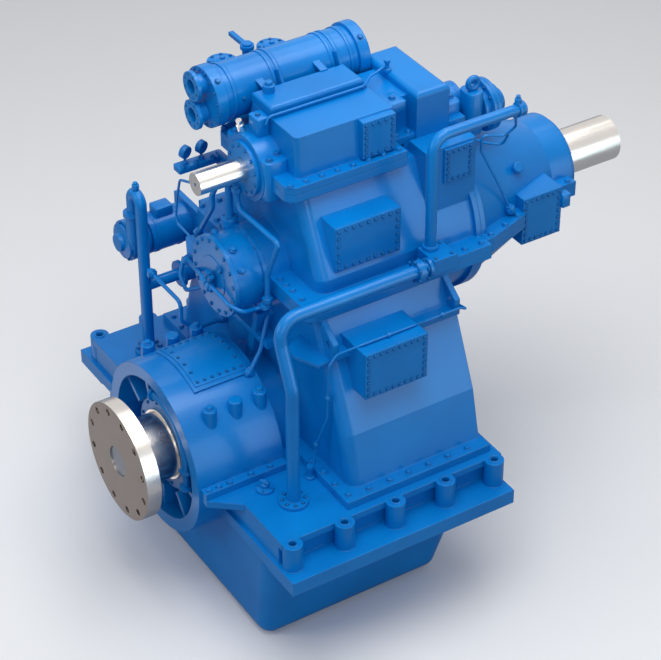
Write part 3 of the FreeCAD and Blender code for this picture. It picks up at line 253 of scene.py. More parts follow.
def makePaint(name, s, tone, deepTone):
    # enamel: two close tones in slow clouds, fine orange peel, rounded edges, a clear coat
    material, tree, shader = newMaterial(name)
    place = addNode(tree, "ShaderNodeTexCoord")
    cloud = addNode(tree, "ShaderNodeTexNoise", Scale=s["cloudScale"], Detail=3.0)
    link(tree, place, "Object", cloud, "Vector")
    ramp = addNode(tree, "ShaderNodeValToRGB")
    for stop, key, share in zip(ramp.color_ramp.elements, (deepTone, tone), s["cloudSpan"]):
        stop.color = s[key]
        stop.position = share
    link(tree, cloud, "Fac", ramp, "Fac")
    link(tree, ramp, "Color", shader, "Base Color")
    peel = addNode(tree, "ShaderNodeTexNoise", Scale=s["peelScale"], Detail=2.0)
    link(tree, place, "Object", peel, "Vector")
    edge = addNode(tree, "ShaderNodeBevel", samples=4, Radius=s["edgeRadius"])
    bump = addNode(tree, "ShaderNodeBump", Strength=s["peelStrength"],
                   Distance=s["peelDepth"])
    link(tree, peel, "Fac", bump, "Height")
    link(tree, edge, "Normal", bump, "Normal")
    link(tree, bump, "Normal", shader, "Normal")
    shader.inputs["Roughness"].default_value = s["roughness"]
    shader.inputs["Specular IOR Level"].default_value = s["specular"]
    shader.inputs["Coat Weight"].default_value = s["coat"]
    shader.inputs["Coat Roughness"].default_value = s["coatRoughness"]
    return material


def makeSteel(name, s, shadedFace=False):
    # turned steel: fine rings along the shaft, slightly uneven polish
    colour, roughness = s["tones"][name]
    material, tree, shader = newMaterial(name)
    place = addNode(tree, "ShaderNodeTexCoord")
    rings = addNode(tree, "ShaderNodeTexWave", wave_type="BANDS", bands_direction="Y",
                    Scale=s["ringScale"], Distortion=0.6, Detail=2.0)
    link(tree, place, "Object", rings, "Vector")
    bump = addNode(tree, "ShaderNodeBump", Strength=s["ringStrength"], Distance=0.001)
    link(tree, rings, "Fac", bump, "Height")
    link(tree, bump, "Normal", shader, "Normal")
    smear = addNode(tree, "ShaderNodeTexNoise", Scale=s["smearScale"], Detail=4.0)
    link(tree, place, "Object", smear, "Vector")
    spread = addNode(tree, "ShaderNodeMapRange")
    spread.inputs["To Min"].default_value = roughness + s["uneven"][0]
    spread.inputs["To Max"].default_value = roughness + s["uneven"][1]
    link(tree, smear, "Fac", spread, "Value")
    link(tree, spread, "Result", shader, "Roughness")
    shader.inputs["Base Color"].default_value = colour
    shader.inputs["Metallic"].default_value = 1.0
    if shadedFace:
        # painted shade: darker where the surface looks forward and lies in front of the face
        # depth, standing in for the flange face's dark reflection
        facing, depth = (addNode(tree, "ShaderNodeSeparateXYZ") for _ in range(2))
        link(tree, place, "Normal", facing, "Vector")
        link(tree, place, "Object", depth, "Vector")
        forward, near, both = (addNode(tree, "ShaderNodeMath", operation=kind)
                               for kind in ("LESS_THAN", "LESS_THAN", "MULTIPLY"))
        forward.inputs[1].default_value = s["faceNormal"]
        near.inputs[1].default_value = s["faceDepth"]
        tree.links.new(facing.outputs["Y"], forward.inputs[0])
        tree.links.new(depth.outputs["Y"], near.inputs[0])
        tree.links.new(forward.outputs[0], both.inputs[0])
        tree.links.new(near.outputs[0], both.inputs[1])
        tone = addNode(tree, "ShaderNodeMix", data_type="RGBA")
        tone.inputs[6].default_value = colour
        tone.inputs[7].default_value = s["faceShadeColour"]
        tree.links.new(both.outputs[0], tone.inputs[0])
        tree.links.new(tone.outputs[2], shader.inputs["Base Color"])
    return material


bluePaint = makePaint("bluePaint", paintSettings, "colour", "deepColour")
boltPaint = makePaint("boltPaint", paintSettings, "boltColour", "boltDeep")
shaftSteel = makeSteel("shaftSteel", steelSettings, shadedFace=True)
spigotPaint = makePaint("spigotPaint", paintSettings, "spigotColour", "spigotDeep")
finishes = {
    "blue_paint": bluePaint,
    "shaft_steel": shaftSteel,
    "gear_steel": makeSteel("gearSteel", steelSettings),
    "clutch_steel": makeSteel("clutchSteel", steelSettings),
    "bearing_metal": makeSteel("bearingMetal", steelSettings),
}

for part in frame["record"]["subparts"]:
    skin = nodes[part["node"]].data.materials
    skin.clear()
    skin.append(finishes[part["material_slot"]])
nodes["spigot_disc"].data.materials[0] = spigotPaint
print("finishes on", len(nodes), "pieces")

# shapes worked out as arrays


def addPiece(name, points, faces, material=None, body="root", smooth=40):
    # one mesh object from an (n, 3) array and an (m, 4) array of corners: points that
    # coincide at poles and seams are merged, the faces turned outwards, and edges that bend
    # by more than smooth degrees stay sharp
    mesh = bpy.data.meshes.new(name)
    points = np.asarray(points, np.float32)
    faces = np.asarray(faces, np.int32)
    size = faces.shape[1]
    mesh.vertices.add(len(points))
    mesh.vertices.foreach_set("co", points.ravel())
    mesh.loops.add(faces.size)
    mesh.loops.foreach_set("vertex_index", faces.ravel())
    mesh.polygons.add(len(faces))
    mesh.polygons.foreach_set("loop_start", np.arange(len(faces), dtype=np.int32) * size)
    mesh.polygons.foreach_set("loop_total", np.full(len(faces), size, np.int32))
    mesh.update(calc_edges=True)
    clean = bmesh.new()
    clean.from_mesh(mesh)
    bmesh.ops.remove_doubles(clean, verts=clean.verts, dist=1e-6)
    bmesh.ops.recalc_face_normals(clean, faces=clean.faces)
    clean.to_mesh(mesh)
    clean.free()
    mesh.shade_smooth()
    mesh.set_sharp_from_angle(angle=math.radians(smooth))
    mesh.materials.append(material or bluePaint)
    piece = bpy.data.objects.new(name, mesh)
    bpy.context.scene.collection.objects.link(piece)
    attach(piece, body)
    return piece


def wrapFaces(rows, columns):
    # quads between the rows of a grid whose columns close on themselves
    r, c = np.meshgrid(np.arange(rows - 1), np.arange(columns), indexing="ij")
    n = (c + 1) % columns
    return np.stack([r * columns + c, r * columns + n, (r + 1) * columns + n,
                     (r + 1) * columns + c], -1).reshape(-1, 4)


def axesFor(direction):
    # two unit vectors square to each direction, and the direction itself
    d = np.atleast_2d(np.asarray(direction, float))
    d = d / np.linalg.norm(d, axis=1, keepdims=True)
    helper = np.where(np.abs(d[:, 2:3]) < 0.9, [[0, 0, 1.0]], [[1.0, 0, 0]])
    u = np.cross(helper, d)
    u = u / np.linalg.norm(u, axis=1, keepdims=True)
    return u, np.cross(d, u), d


def lathe(profile, columns, corners=0):
    # a profile of (radius, height) turned about Z: with corners, the radius follows a polygon,
    # by the share from 0 to 1 that a third number gives
    profile = np.asarray(profile, float)
    angle = np.linspace(0, 2 * np.pi, columns, endpoint=False)
    stretch = np.ones((len(profile), columns))
    if corners:
        step = 2 * np.pi / corners
        polygon = np.cos(step / 2) / np.cos((angle + step / 2) % step - step / 2)
        flat = profile[:, 2:3] if profile.shape[1] > 2 else np.ones((len(profile), 1))
        stretch = 1 + flat * (polygon[None, :] - 1)
    radius = profile[:, 0:1] * stretch
    return np.stack([radius * np.cos(angle), radius * np.sin(angle),
                     np.broadcast_to(profile[:, 1:2], radius.shape)], -1).reshape(-1, 3)


def stamp(name, template, faces, places, direction, material=None, body="root",
          slot="blue_paint", smooth=40, spin=0.0):
    # the template, which stands on Z, copied to every place and turned along its direction
    places = np.atleast_2d(np.asarray(places, float))
    direction = np.broadcast_to(np.atleast_2d(direction), places.shape)
    u, v, d = axesFor(direction)
    c, s = math.cos(spin), math.sin(spin)
    x = template[:, 0] * c - template[:, 1] * s
    y = template[:, 0] * s + template[:, 1] * c
    points = (places[:, None, :] + x[None, :, None] * u[:, None, :]
              + y[None, :, None] * v[:, None, :]
              + template[None, :, 2, None] * d[:, None, :])
    offsets = (np.arange(len(places)) * len(template))[:, None, None]
    return addPiece(name, points.reshape(-1, 3), (faces[None] + offsets).reshape(-1, 4),
                    material, body, smooth)


boltSettings = {"columns": 24, "corners": 6, "sharpAngle": 30, "spin": 0.3}


def bolts(name, places, direction, size, material=boltPaint):
    # washer, hexagon with a chamfered crown; size is the washer's radius
    s = boltSettings
    profile = np.array([
        (0.0, -0.01, 0), (1.0, -0.01, 0), (1.0, 0.14, 0), (0.94, 0.18, 0), (0.80, 0.18, 0),
        (0.80, 0.18, 1), (0.80, 0.62, 1), (0.76, 0.72, 0.6), (0.66, 0.78, 0), (0.0, 0.78, 0)])
    profile[:, :2] *= size
    template = lathe(profile, s["columns"], s["corners"])
    faces = wrapFaces(len(profile), s["columns"])
    return stamp(name, template, faces, places, direction, material, smooth=s["sharpAngle"],
                 spin=s["spin"])


def line(first, last, count):
    # evenly spaced places from first to last
    share = np.linspace(0, 1, count)[:, None]
    return np.asarray(first, float) * (1 - share) + np.asarray(last, float) * share


def ring(centre, radius, count, axis="y"):
    # places on a circle about an axis along Y or Z: centre + radius (cos, sin) of the angle
    angle = 2 * np.pi * (np.arange(count) + 0.5) / count
    across, up, still = radius * np.cos(angle), radius * np.sin(angle), np.zeros(count)
    columns = (across, still, up) if axis == "y" else (across, up, still)
    return np.asarray(centre, float) + np.stack(columns, -1)


def edgeRing(low, high, across, down, inset):
    # places round a rectangle's edge: low and high are corners of the plane they differ in
    low, high = np.asarray(low, float), np.asarray(high, float)
    a, b = (k for k in range(3) if abs(high[k] - low[k]) > 1e-6)
    corner = [low.copy() for _ in range(4)]
    corner[0][a], corner[0][b] = low[a] + inset, low[b] + inset
    corner[1][a], corner[1][b] = high[a] - inset, low[b] + inset
    corner[2][a], corner[2][b] = high[a] - inset, high[b] - inset
    corner[3][a], corner[3][b] = low[a] + inset, high[b] - inset
    sides = [(0, 1, across), (1, 2, down), (2, 3, across), (3, 0, down)]
    return np.concatenate([line(corner[p], corner[q], n)[:-1] for p, q, n in sides])


print("shape helpers ready")

# bolts of the covers

coverSettings = {
    "boltSize": 0.0125,
    "inset": 0.022,
    "leftBeyond": -0.1,                   # a node that reaches past here has a left plate too
    "covers": (                           # node, bolts along the first and second side
        ("lower_side_covers", 10, 7),
        ("middle_side_covers", 9, 6),
        ("tower_covers", 5, 6),
        ("top_side_cover", 5, 6),
        ("clutch_housing_cover", 7, 7),
    ),
}


def coverBolts(s):
    # a cover node holds one plate, or one on each side; the right one faces +X
    for node, across, down in s["covers"]:
        low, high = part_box(node)
        right = edgeRing((high[0], low[1], low[2]), high, across, down, s["inset"])
        bolts(f"{node}_bolts_right", right, (1, 0, 0), s["boltSize"])
        if low[0] < s["leftBeyond"]:
            left = right * np.array([-1, 1, 1])
            bolts(f"{node}_bolts_left", left, (-1, 0, 0), s["boltSize"])


coverBolts(coverSettings)

# bolts of the flanges between the casings

flangeSettings = {
    "size": 0.021,
    "baseTop": 0.05,
    "baseX": 1.055,
    "baseSide": (1.089, 1.231, 1.366, 1.505, 1.641, 1.782),
    "baseFront": ((1.037, 0.958), (0.914, 0.944), (0.791, 0.944), (0.668, 0.944)),
    "baseRear": (0.95, 0.3, 1.905, 5),    # outer and inner x, y, bolts on each side
    "drumTop": 0.045,
    "drumX": 0.571,
    "drumY": (0.298, 0.363, 0.436, 0.58, 0.711),
    "jointFaces": (1.13, 1.03),           # upper and lower face of the middle flange
    "jointSide": (0.61, 0.97, 2.15, 11),  # x, first and last y, bolts on each side
    "jointFront": (0.53, 0.432, 0.361, 0.295),
    "jointFrontY": 0.967,
    "topFaces": (1.788, 1.69),
    "topSide": (0.368, 1.0, 1.72, 8),
    "topRear": (0.235, 1.79, 1.87, 2),
    "bell": ((0.565, 2.25), (0.53, 2.38), (0.49, 2.5), (0.345, 2.88), (0.345, 2.98)),
    "valveTop": ((0.635, 1.725), (0.757, 1.725), (0.635, 1.835), (0.757, 1.835)),
    "valveLevel": 1.262,
    "union": (0.735, 1.205), "unionFaces": (1.6, 1.648), "unionRadius": 0.064,
    "smallBolt": 0.013,
    "rearShare": 0.8, "topShare": 0.9,    # of the size above
}


def sideRows(x, first, last, count, level):
    # the same row of places along Y on the right and on the left
    return [line((side * x, first, level), (side * x, last, level), count) for side in (1, -1)]


def flangeBolts(s):
    # rows along each flange, with (-x, y) for every (x, y)
    base = [(s["baseX"], y) for y in s["baseSide"]] + list(s["baseFront"])
    places = np.array([(side * x, y, s["baseTop"]) for side in (1, -1) for x, y in base])
    bolts("base_flange_bolts", places, (0, 0, 1), s["size"], bluePaint)
    outer, inner, y, count = s["baseRear"]
    rear = np.concatenate([line((side * outer, y, s["baseTop"]), (side * inner, y, s["baseTop"]),
                                count) for side in (1, -1)])
    bolts("base_flange_rear_bolts", rear, (0, 0, 1), s["size"] * s["rearShare"], bluePaint)
    drum = [(side * s["drumX"], y, s["drumTop"]) for side in (1, -1) for y in s["drumY"]]
    bolts("drum_flange_bolts", drum, (0, 0, 1), s["size"], bluePaint)
    upper, lower = s["jointFaces"]
    front = [(side * x, s["jointFrontY"], upper) for side in (1, -1) for x in s["jointFront"]]
    joint = np.concatenate([*sideRows(*s["jointSide"], upper), front])
    bolts("middle_flange_bolts", joint, (0, 0, 1), s["size"], bluePaint)
    bolts("middle_flange_nuts", joint * [1, 1, 0] + [0, 0, lower], (0, 0, -1), s["size"])
    upper, lower = s["topFaces"]
    top = np.concatenate([*sideRows(*s["topSide"], upper), *sideRows(*s["topRear"], upper)])
    topSize = s["size"] * s["topShare"]
    bolts("top_flange_bolts", top, (0, 0, 1), topSize, bluePaint)
    bell = [(side * x, y, s["jointFaces"][0]) for side in (1, -1) for x, y in s["bell"]]
    bolts("bell_flange_bolts", bell, (0, 0, 1), s["size"], bluePaint)
    valve = [(x, y, s["valveLevel"]) for x, y in s["valveTop"]]
    bolts("valve_block_bolts", valve, (0, 0, 1), s["smallBolt"])
    union = ring((s["union"][0], 0, s["union"][1]), s["unionRadius"], 6)
    front, rear = s["unionFaces"]
    bolts("supply_union_bolts", union + [0, front, 0], (0, -1, 0), s["smallBolt"])
    bolts("supply_union_nuts", union + [0, rear, 0], (0, 1, 0), s["smallBolt"])
    bolts("top_flange_nuts", top * [1, 1, 0] + [0, 0, lower], (0, 0, -1), topSize)


flangeBolts(flangeSettings)

# bolts on round faces

roundSettings = {
    "rings": (                            # name, centre, radius, count, facing, size
        ("takeoff_cover_bolts", (0, 0.905, 1.74), 0.142, 12, (0, -1, 0), 0.013),
        ("input_cover_bolts", (0, 0.697, 1.08), 0.225, 16, (0, -1, 0), 0.014),
        ("input_housing_bolts", (0, 0.895, 1.08), 0.2425, 16, (0, -1, 0), 0.007),
        ("output_seal_bolts", (0, 0.316, 0), 0.268, 12, (0, -1, 0), 0.012),
        ("input_seal_bolts", (0, 3.09, 1.08), 0.25, 16, (0, 1, 0), 0.014),
        ("output_rear_bolts", (0, 2.0, 0), 0.235, 12, (0, 1, 0), 0.014),
        ("takeoff_rear_bolts", (0, 2.354, 1.74), 0.092, 8, (0, 1, 0), 0.011),
        ("cooler_rear_bolts", (-0.375, 1.897, 2.029), 0.16, 14, (0, 1, 0), 0.012),
        ("cooler_front_bolts", (-0.375, 0.877, 2.029), 0.168, 16, (0, -1, 0), 0.011),
    ),
}


def roundBolts(s):
    # each ring: centre + radius (cos, sin) of evenly spaced angles
    for name, centre, radius, count, facing, size in s["rings"]:
        bolts(name, ring(centre, radius, count), facing, size)


roundBolts(roundSettings)
print("bolts placed")

# turned, blocked and piped pieces


def turnedPieces(name, profile, places, direction, corners=0, columns=32, **more):
    # the profile of (radius, height) in metres, stood on each place along the direction
    template = lathe(profile, columns, corners)
    return stamp(name, template, wrapFaces(len(profile), columns), places, direction, **more)


def blocks(name, low, high, corner, edge, shift=((0, 0, 0),)):
    # a block whose upright edges are arcs of radius corner and whose rims are drawn in by
    # edge: the outline is a rounded rectangle, scaled down to its middle at both ends
    count, rows = 24, 8
    low, high = np.asarray(low, float), np.asarray(high, float)
    middle, half = (low + high) / 2, (high - low) / 2
    angle = (np.arange(count) + 0.5) * 2 * np.pi / count
    reach = half[:2] - corner
    flat = np.stack([np.sign(np.cos(angle)) * reach[0] + corner * np.cos(angle),
                     np.sign(np.sin(angle)) * reach[1] + corner * np.sin(angle)], -1)
    inset = np.array([1.0, edge, edge * 0.3, 0, 0, edge * 0.3, edge, 1.0])
    level = np.array([low[2], low[2], low[2] + edge * 0.3, low[2] + edge, high[2] - edge,
                      high[2] - edge * 0.3, high[2], high[2]])
    share = np.where(inset[:, None] < 1, 1 - inset[:, None] / half[:2], 0)
    grid = np.concatenate([flat[None] * share[:, None, :] + middle[:2],
                           np.broadcast_to(level[:, None, None], (rows, count, 1))], -1)
    points = grid.reshape(-1, 3)[None] + np.asarray(shift, float)[:, None, :]
    faces = wrapFaces(rows, count)
    offsets = (np.arange(len(shift)) * rows * count)[:, None, None]
    return addPiece(name, points.reshape(-1, 3), (faces[None] + offsets).reshape(-1, 4),
                    smooth=30)


def routeOf(points, bend):
    # straight runs joined by curves: each corner is (1 - t)^2 first + 2 t (1 - t) corner +
    # t^2 last, where first and last lie as far from it as an arc of radius bend would touch
    points = np.asarray(points, float)
    rows = [points[:1]]
    for before, corner, after in zip(points, points[1:], points[2:]):
        into, out = corner - before, after - corner
        runs = np.linalg.norm(into), np.linalg.norm(out)
        into, out = into / runs[0], out / runs[1]
        turn = math.acos(np.clip(into @ out, -1, 1))
        cut = min(bend * math.tan(turn / 2), 0.45 * min(runs))
        t = np.linspace(0, 1, 9)[:, None]
        first, last = corner - into * cut, corner + out * cut
        rows.append((1 - t) ** 2 * first + 2 * t * (1 - t) * corner + t ** 2 * last)
    rows.append(points[-1:])
    return np.concatenate(rows)


def tubes(name, routes, radius, bend=0.05, sides=12):
    # round tubes: a circle of the given radius carried along each route, closed at its ends;
    # its plane starts from the choice that is never near the route's direction
    allPoints, allFaces, used = [], [], 0
    angle = np.linspace(0, 2 * np.pi, sides, endpoint=False)
    choices = np.array([[1, 0, 0], [0, 1, 0], [0, 0, 1], [0.6, 0.6, 0.5], [0.6, -0.6, 0.5]])
    for route in routes:
        path = routeOf(route, bend)
        along = np.gradient(path, axis=0)
        along /= np.linalg.norm(along, axis=1, keepdims=True)
        clear = np.linalg.norm(np.cross(along[:, None], choices[None]), axis=-1).min(0)
        u = np.cross(along, choices[clear.argmax()])
        u /= np.linalg.norm(u, axis=1, keepdims=True)
        v = np.cross(along, u)
        rings = (path[:, None] + radius * (np.cos(angle)[None, :, None] * u[:, None]
                                           + np.sin(angle)[None, :, None] * v[:, None]))
        ends = [np.repeat(path[k][None, None], sides, 1) for k in (0, -1)]
        rings = np.concatenate([ends[0], rings, ends[1]])
        allPoints.append(rings.reshape(-1, 3))
        allFaces.append(wrapFaces(len(rings), sides) + used)
        used += len(rings) * sides
    return addPiece(name, np.concatenate(allPoints), np.concatenate(allFaces))


def nutProfile(radius, length, collar=1.25):
    # a union nut between two round collars, with the height measured from its middle
    h = length / 2
    return [(0, -h, 0), (radius * 0.8, -h, 0), (radius * 0.8, -h * 0.55, 0),
            (radius * collar, -h * 0.5, 1), (radius * collar, h * 0.5, 1),
            (radius * 0.8, h * 0.55, 0), (radius * 0.8, h, 0), (0, h, 0)]


# drum cap: studs in sleeves on its shoulders, bolts round the curved hatch

capSettings = {
    "drumRadius": 0.54, "studX": 0.375, "studs": (0.43, 0.60, 0.765), "sleeve": 0.042,
    "sleeveTop": 0.075, "sleeveFoot": 0.08, "sleeveEdge": 0.006, "sleeveNut": 0.026,
    "hatchRadius": 0.562, "hatchHalf": 0.19, "hatchFront": 0.456, "hatchRear": 0.75,
    "hatchBolt": 0.011, "hatchBolts": (6, 5),  # on each curved and on each straight edge
    "frameRadius": 0.555, "frameHalf": 0.237, "frameFront": 0.41, "frameRear": 0.796,
    "frameEdge": 0.004, "frameSink": 0.004,
}


def capFittings(s):
    # sleeves stand where the drum's top is: z = sqrt(radius^2 - x^2); the hatch's bolts lie
    # at its radius times (sin, cos) of their turn from the top
    level = math.sqrt(s["drumRadius"] ** 2 - s["studX"] ** 2)
    places = np.array([(side * s["studX"], y, level) for side in (1, -1) for y in s["studs"]])
    r, top, edge = s["sleeve"], s["sleeveTop"], s["sleeveEdge"]
    turnedPieces("cap_sleeves", [(0, -s["sleeveFoot"]), (r, -s["sleeveFoot"]), (r, top - edge),
                                 (r - edge, top), (0, top)], places, (0, 0, 1))
    outer = [k for k in range(len(places)) if k % len(s["studs"]) != 1]
    bolts("cap_sleeve_nuts", places[outer] + [0, 0, top], (0, 0, 1), s["sleeveNut"], bluePaint)
    across, along = s["hatchBolts"]
    half = math.asin(s["hatchHalf"] / s["hatchRadius"])
    sweep = np.linspace(-half, half, across)
    side = np.linspace(s["hatchFront"], s["hatchRear"], along + 2)[1:-1]
    turn = np.concatenate([sweep, np.full(along, half), -sweep, np.full(along, -half)])
    y = np.concatenate([np.full(across, s["hatchFront"]), side, np.full(across, s["hatchRear"]),
                        side[::-1]])
    out = np.stack([np.sin(turn), np.zeros_like(turn), np.cos(turn)], -1)
    bolts("drum_hatch_bolts", out * s["hatchRadius"] + y[:, None] * [0, 1, 0], out,
          s["hatchBolt"])


def hatchFrame(s):
    # a plate bent round the drum: a rectangle of radius and length carried round an arc
    half = math.asin(s["frameHalf"] / s["frameRadius"])
    angle = np.linspace(-half, half, 26)
    r, f, b, e = (s[key] for key in ("frameRadius", "frameFront", "frameRear", "frameEdge"))
    inner = s["drumRadius"] - s["frameSink"]
    section = np.array([(inner, f), (r - e, f), (r, f + e), (r, b - e), (r - e, b), (inner, b)])
    rows = np.stack([section[None, :, 0] * np.sin(angle)[:, None],
                     np.broadcast_to(section[:, 1], (len(angle), len(section))),
                     section[None, :, 0] * np.cos(angle)[:, None]], -1)
    ends = [np.repeat(rows[k].mean(0)[None, None], len(section), 1) for k in (0, -1)]
    points = np.concatenate([ends[0], rows, ends[1]])
    addPiece("drum_hatch_frame", points.reshape(-1, 3), wrapFaces(len(points), len(section)),
             smooth=30)


capFittings(capSettings)
hatchFrame(capSettings)

# clamping blocks with two bolts each, where the upper casings' halves meet

clampSettings = {
    "takeoff": ((0.107, 0.933, 1.62), (0.228, 1.083, 1.87)),
    "rear": ((0.10, 2.13, 1.64), (0.215, 2.26, 1.86)),
    "crown": ((-0.06, 0.985, 1.90), (0.045, 1.07, 2.05)),
    "lidStep": ((0.107, 1.74, 1.94), (0.235, 1.86, 2.0)),
    "bolt": 0.024,
    "boltOffset": (0.02, -0.035),         # from the block's middle, one bolt each way
    "crownBolt": ((-0.01, 1.02, 2.05), 0.016),
    "lidStepBolt": ((0.17, 1.8, 2.0), 0.022),
}


def clampBlocks(s):
    # a block and its mirror, with bolts at its middle plus and minus the offset
    dx, dy = s["boltOffset"]
    for name in ("takeoff", "rear"):
        low, high = (np.array(end) for end in s[name])
        mirror = (0, 0, 0), (-(low[0] + high[0]), 0, 0)
        blocks(f"{name}_clamp_blocks", low, high, 0.03, 0.006, mirror)
        middle = (low + high) / 2
        spots = [(side * (middle[0] + way * dx), middle[1] + way * dy, high[2])
                 for side in (1, -1) for way in (1, -1)]
        bolts(f"{name}_clamp_bolts", spots, (0, 0, 1), s["bolt"])
    blocks("crown_block", *s["crown"], 0.015, 0.005)
    bolts("crown_bolt", s["crownBolt"][0], (0, 0, 1), s["crownBolt"][1])
    blocks("lid_step_block", *s["lidStep"], 0.012, 0.004)
    bolts("lid_step_bolt", s["lidStepBolt"][0], (0, 0, 1), s["lidStepBolt"][1])


clampBlocks(clampSettings)

# studs in the foundation columns, supply pipe flange, drain cock

footSettings = {
    "columnX": 1.177, "columnFirst": 0.495, "columnPitch": 0.35, "columnCount": 5,
    "supply": ((0.87, 0.69, 0.024), 0.013), "suction": ((-0.865, 0.685, 0.024), 0.0195),
    "pipeRing": 0.068, "cock": (0.686, 0.606, 0.0), "cockRing": 0.044, "cockBolt": 0.009,
}


def footFittings(s):
    # bushes at first + pitch k on both sides, bolt rings on the pipe flanges
    y = s["columnFirst"] + s["columnPitch"] * np.arange(s["columnCount"])
    spots = np.array([(side * s["columnX"], k, 0.0) for side in (1, -1) for k in y])
    turnedPieces("column_bushes", [(0.024, -0.05), (0.036, -0.05), (0.036, 0.004),
                                   (0.034, 0.007), (0.026, 0.007), (0.024, 0.004),
                                   (0.024, -0.05)], spots, (0, 0, 1))
    for name in ("supply", "suction"):
        centre, size = s[name]
        bolts(f"{name}_flange_bolts", ring(centre, s["pipeRing"], 8, "z"), (0, 0, 1), size)
    cock = np.array(s["cock"])
    turnedPieces("drain_cock_flange", [(0, 0), (0.055, 0), (0.055, 0.016), (0.026, 0.02),
                                       (0.026, 0.045), (0.016, 0.05), (0.016, 0.07),
                                       (0, 0.07)], cock, (0, 0, 1))
    bolts("drain_cock_bolts", ring(cock + [0, 0, 0.016], s["cockRing"], 4, "z"), (0, 0, 1),
          s["cockBolt"])
    turnedPieces("drain_cock_key", nutProfile(0.014, 0.06), cock + [0, 0, 0.055], (1, 0.4, 0))


footFittings(footSettings)

# input housing: plugs on its rim, centre boss with a sensor, ring of the oil feed

inputSettings = {
    "height": 1.08, "front": 0.697, "boss": 0.13, "sensor": (0.087, 0.693, 1.17),
    "plug": 0.02, "plugAngles": (33, 64, 116, 147), "plugY": 0.768, "rim": 0.236,
    "inlet": (-0.157, 0.9, 1.27), "inletRing": 0.037, "inletBolt": 0.008,
}


def inputFittings(s):
    # plugs stand on the rim: its radius times (cos, sin) of each angle
    centre = np.array([0, s["front"], s["height"]])
    turnedPieces("input_cover_boss", [(0, 0), (s["boss"], 0), (s["boss"] - 0.002, 0.004),
                                      (0, 0.004)], centre, (0, -1, 0), columns=64)
    bolts("input_cover_sensor", s["sensor"], (0, -1, 0), 0.02)
    turnedPieces("input_oil_inlet", [(0, 0), (0.05, 0), (0.05, 0.06), (0.047, 0.065),
                                     (0.026, 0.068), (0.022, 0.08), (0.022, 0.36), (0, 0.36)],
                 s["inlet"], (0, 0, 1))
    inlet = ring(s["inlet"], s["inletRing"], 4, "z")
    bolts("input_inlet_bolts", inlet + [0, 0, 0.065], (0, 0, 1), s["inletBolt"])
    turn = np.radians(s["plugAngles"])
    out = np.stack([np.cos(turn), np.zeros_like(turn), np.sin(turn)], -1)
    spots = out * s["rim"] + [0, s["plugY"], s["height"]]
    turnedPieces("input_housing_plugs", nutProfile(s["plug"], 0.05), spots, out, 6, 24)


inputFittings(inputSettings)

# filter lids, cooler and oil box trim

oilSettings = {
    "filters": ((-0.665, 1.17), (-0.665, 1.507)), "lidTop": 2.035, "lidRadius": 0.076,
    "lidBolt": 0.011, "coolerX": -0.375, "coolerZ": 2.029, "coolerRadius": 0.165,
    "bands": (1.0, 1.262, 1.3, 1.652, 1.69, 1.78),
    "vents": ((0.11, 0.912, 0.146), (0.11, 1.862, 0.146)), "ventFacing": (0.6, 0, 0.8),
    "sensor": (0.165, 1.05, 0.02), "sensorFacing": (0.95, 0, 0.3),
    "boxFiller": (-0.12, 1.16, 2.125), "takeoffSensor": (-0.09, 0.96, 1.93),
}


def oilFittings(s):
    # pieces turned about the filters' upright axes and the cooler's level one
    spots = np.concatenate([ring((x, y, s["lidTop"]), s["lidRadius"], 8, "z")
                            for x, y in s["filters"]])
    bolts("filter_lid_bolts", spots, (0, 0, 1), s["lidBolt"])
    crown = [(x, y, s["lidTop"]) for x, y in s["filters"]]
    turnedPieces("filter_lid_crowns", [(0, 0), (0.055, 0), (0.052, 0.008), (0.03, 0.016),
                                       (0.016, 0.018), (0.016, 0.03), (0, 0.03)],
                 crown, (0, 0, 1))
    axis = np.array([s["coolerX"], 0, s["coolerZ"]])
    bands = [axis + [0, y, 0] for y in s["bands"]]
    r = s["coolerRadius"]
    turnedPieces("cooler_bands", [(r - 0.002, -0.012), (r + 0.005, -0.012),
                                  (r + 0.006, -0.009), (r + 0.006, 0.009), (r + 0.005, 0.012),
                                  (r - 0.002, 0.012), (r - 0.002, -0.012)], bands, (0, 1, 0),
                 columns=64)
    bolts("cooler_vents", axis + s["vents"], s["ventFacing"], 0.018)
    bolts("cooler_sensors", axis + s["sensor"], s["sensorFacing"], 0.012)
    turnedPieces("oil_box_filler", nutProfile(0.028, 0.09), s["boxFiller"], (0, 0, 1))
    turnedPieces("takeoff_sensor", [(0, 0), (0.024, 0), (0.024, 0.05), (0.018, 0.056),
                                    (0.018, 0.08), (0, 0.08)], s["takeoffSensor"],
                 (0.1, -0.3, 1), material=shaftSteel, slot="shaft_steel")


oilFittings(oilSettings)

# gauges on their manifold

gaugeSettings = {
    "low": (-0.64, 0.80, 1.43), "high": (-0.56, 1.11, 1.47), "gauges": (0.86, 0.97),
    "facing": (-1, -0.4, 0.15),           # the dials are read from the left side
    "stem": 0.008, "rise": 0.035, "dial": 0.038, "armLow": (-0.62, 1.075, 1.39),
    "armHigh": (-0.40, 1.11, 1.48), "cocks": (0.83, 0.92, 1.03), "cockShift": 0.03,
    "dialTones": ((0.62, 0.62, 0.6, 1), (0.8, 0.8, 0.78, 1)), "dialScale": 40.0,
}


def makeDialFace(s):
    # pale enamel with fine grey marks
    material, tree, shader = newMaterial("dialFace")
    marks = addNode(tree, "ShaderNodeTexNoise", Scale=s["dialScale"])
    ramp = addNode(tree, "ShaderNodeValToRGB")
    ramp.color_ramp.elements[0].color, ramp.color_ramp.elements[1].color = s["dialTones"]
    link(tree, addNode(tree, "ShaderNodeTexCoord"), "Object", marks, "Vector")
    link(tree, marks, "Fac", ramp, "Fac")
    link(tree, ramp, "Color", shader, "Base Color")
    return material


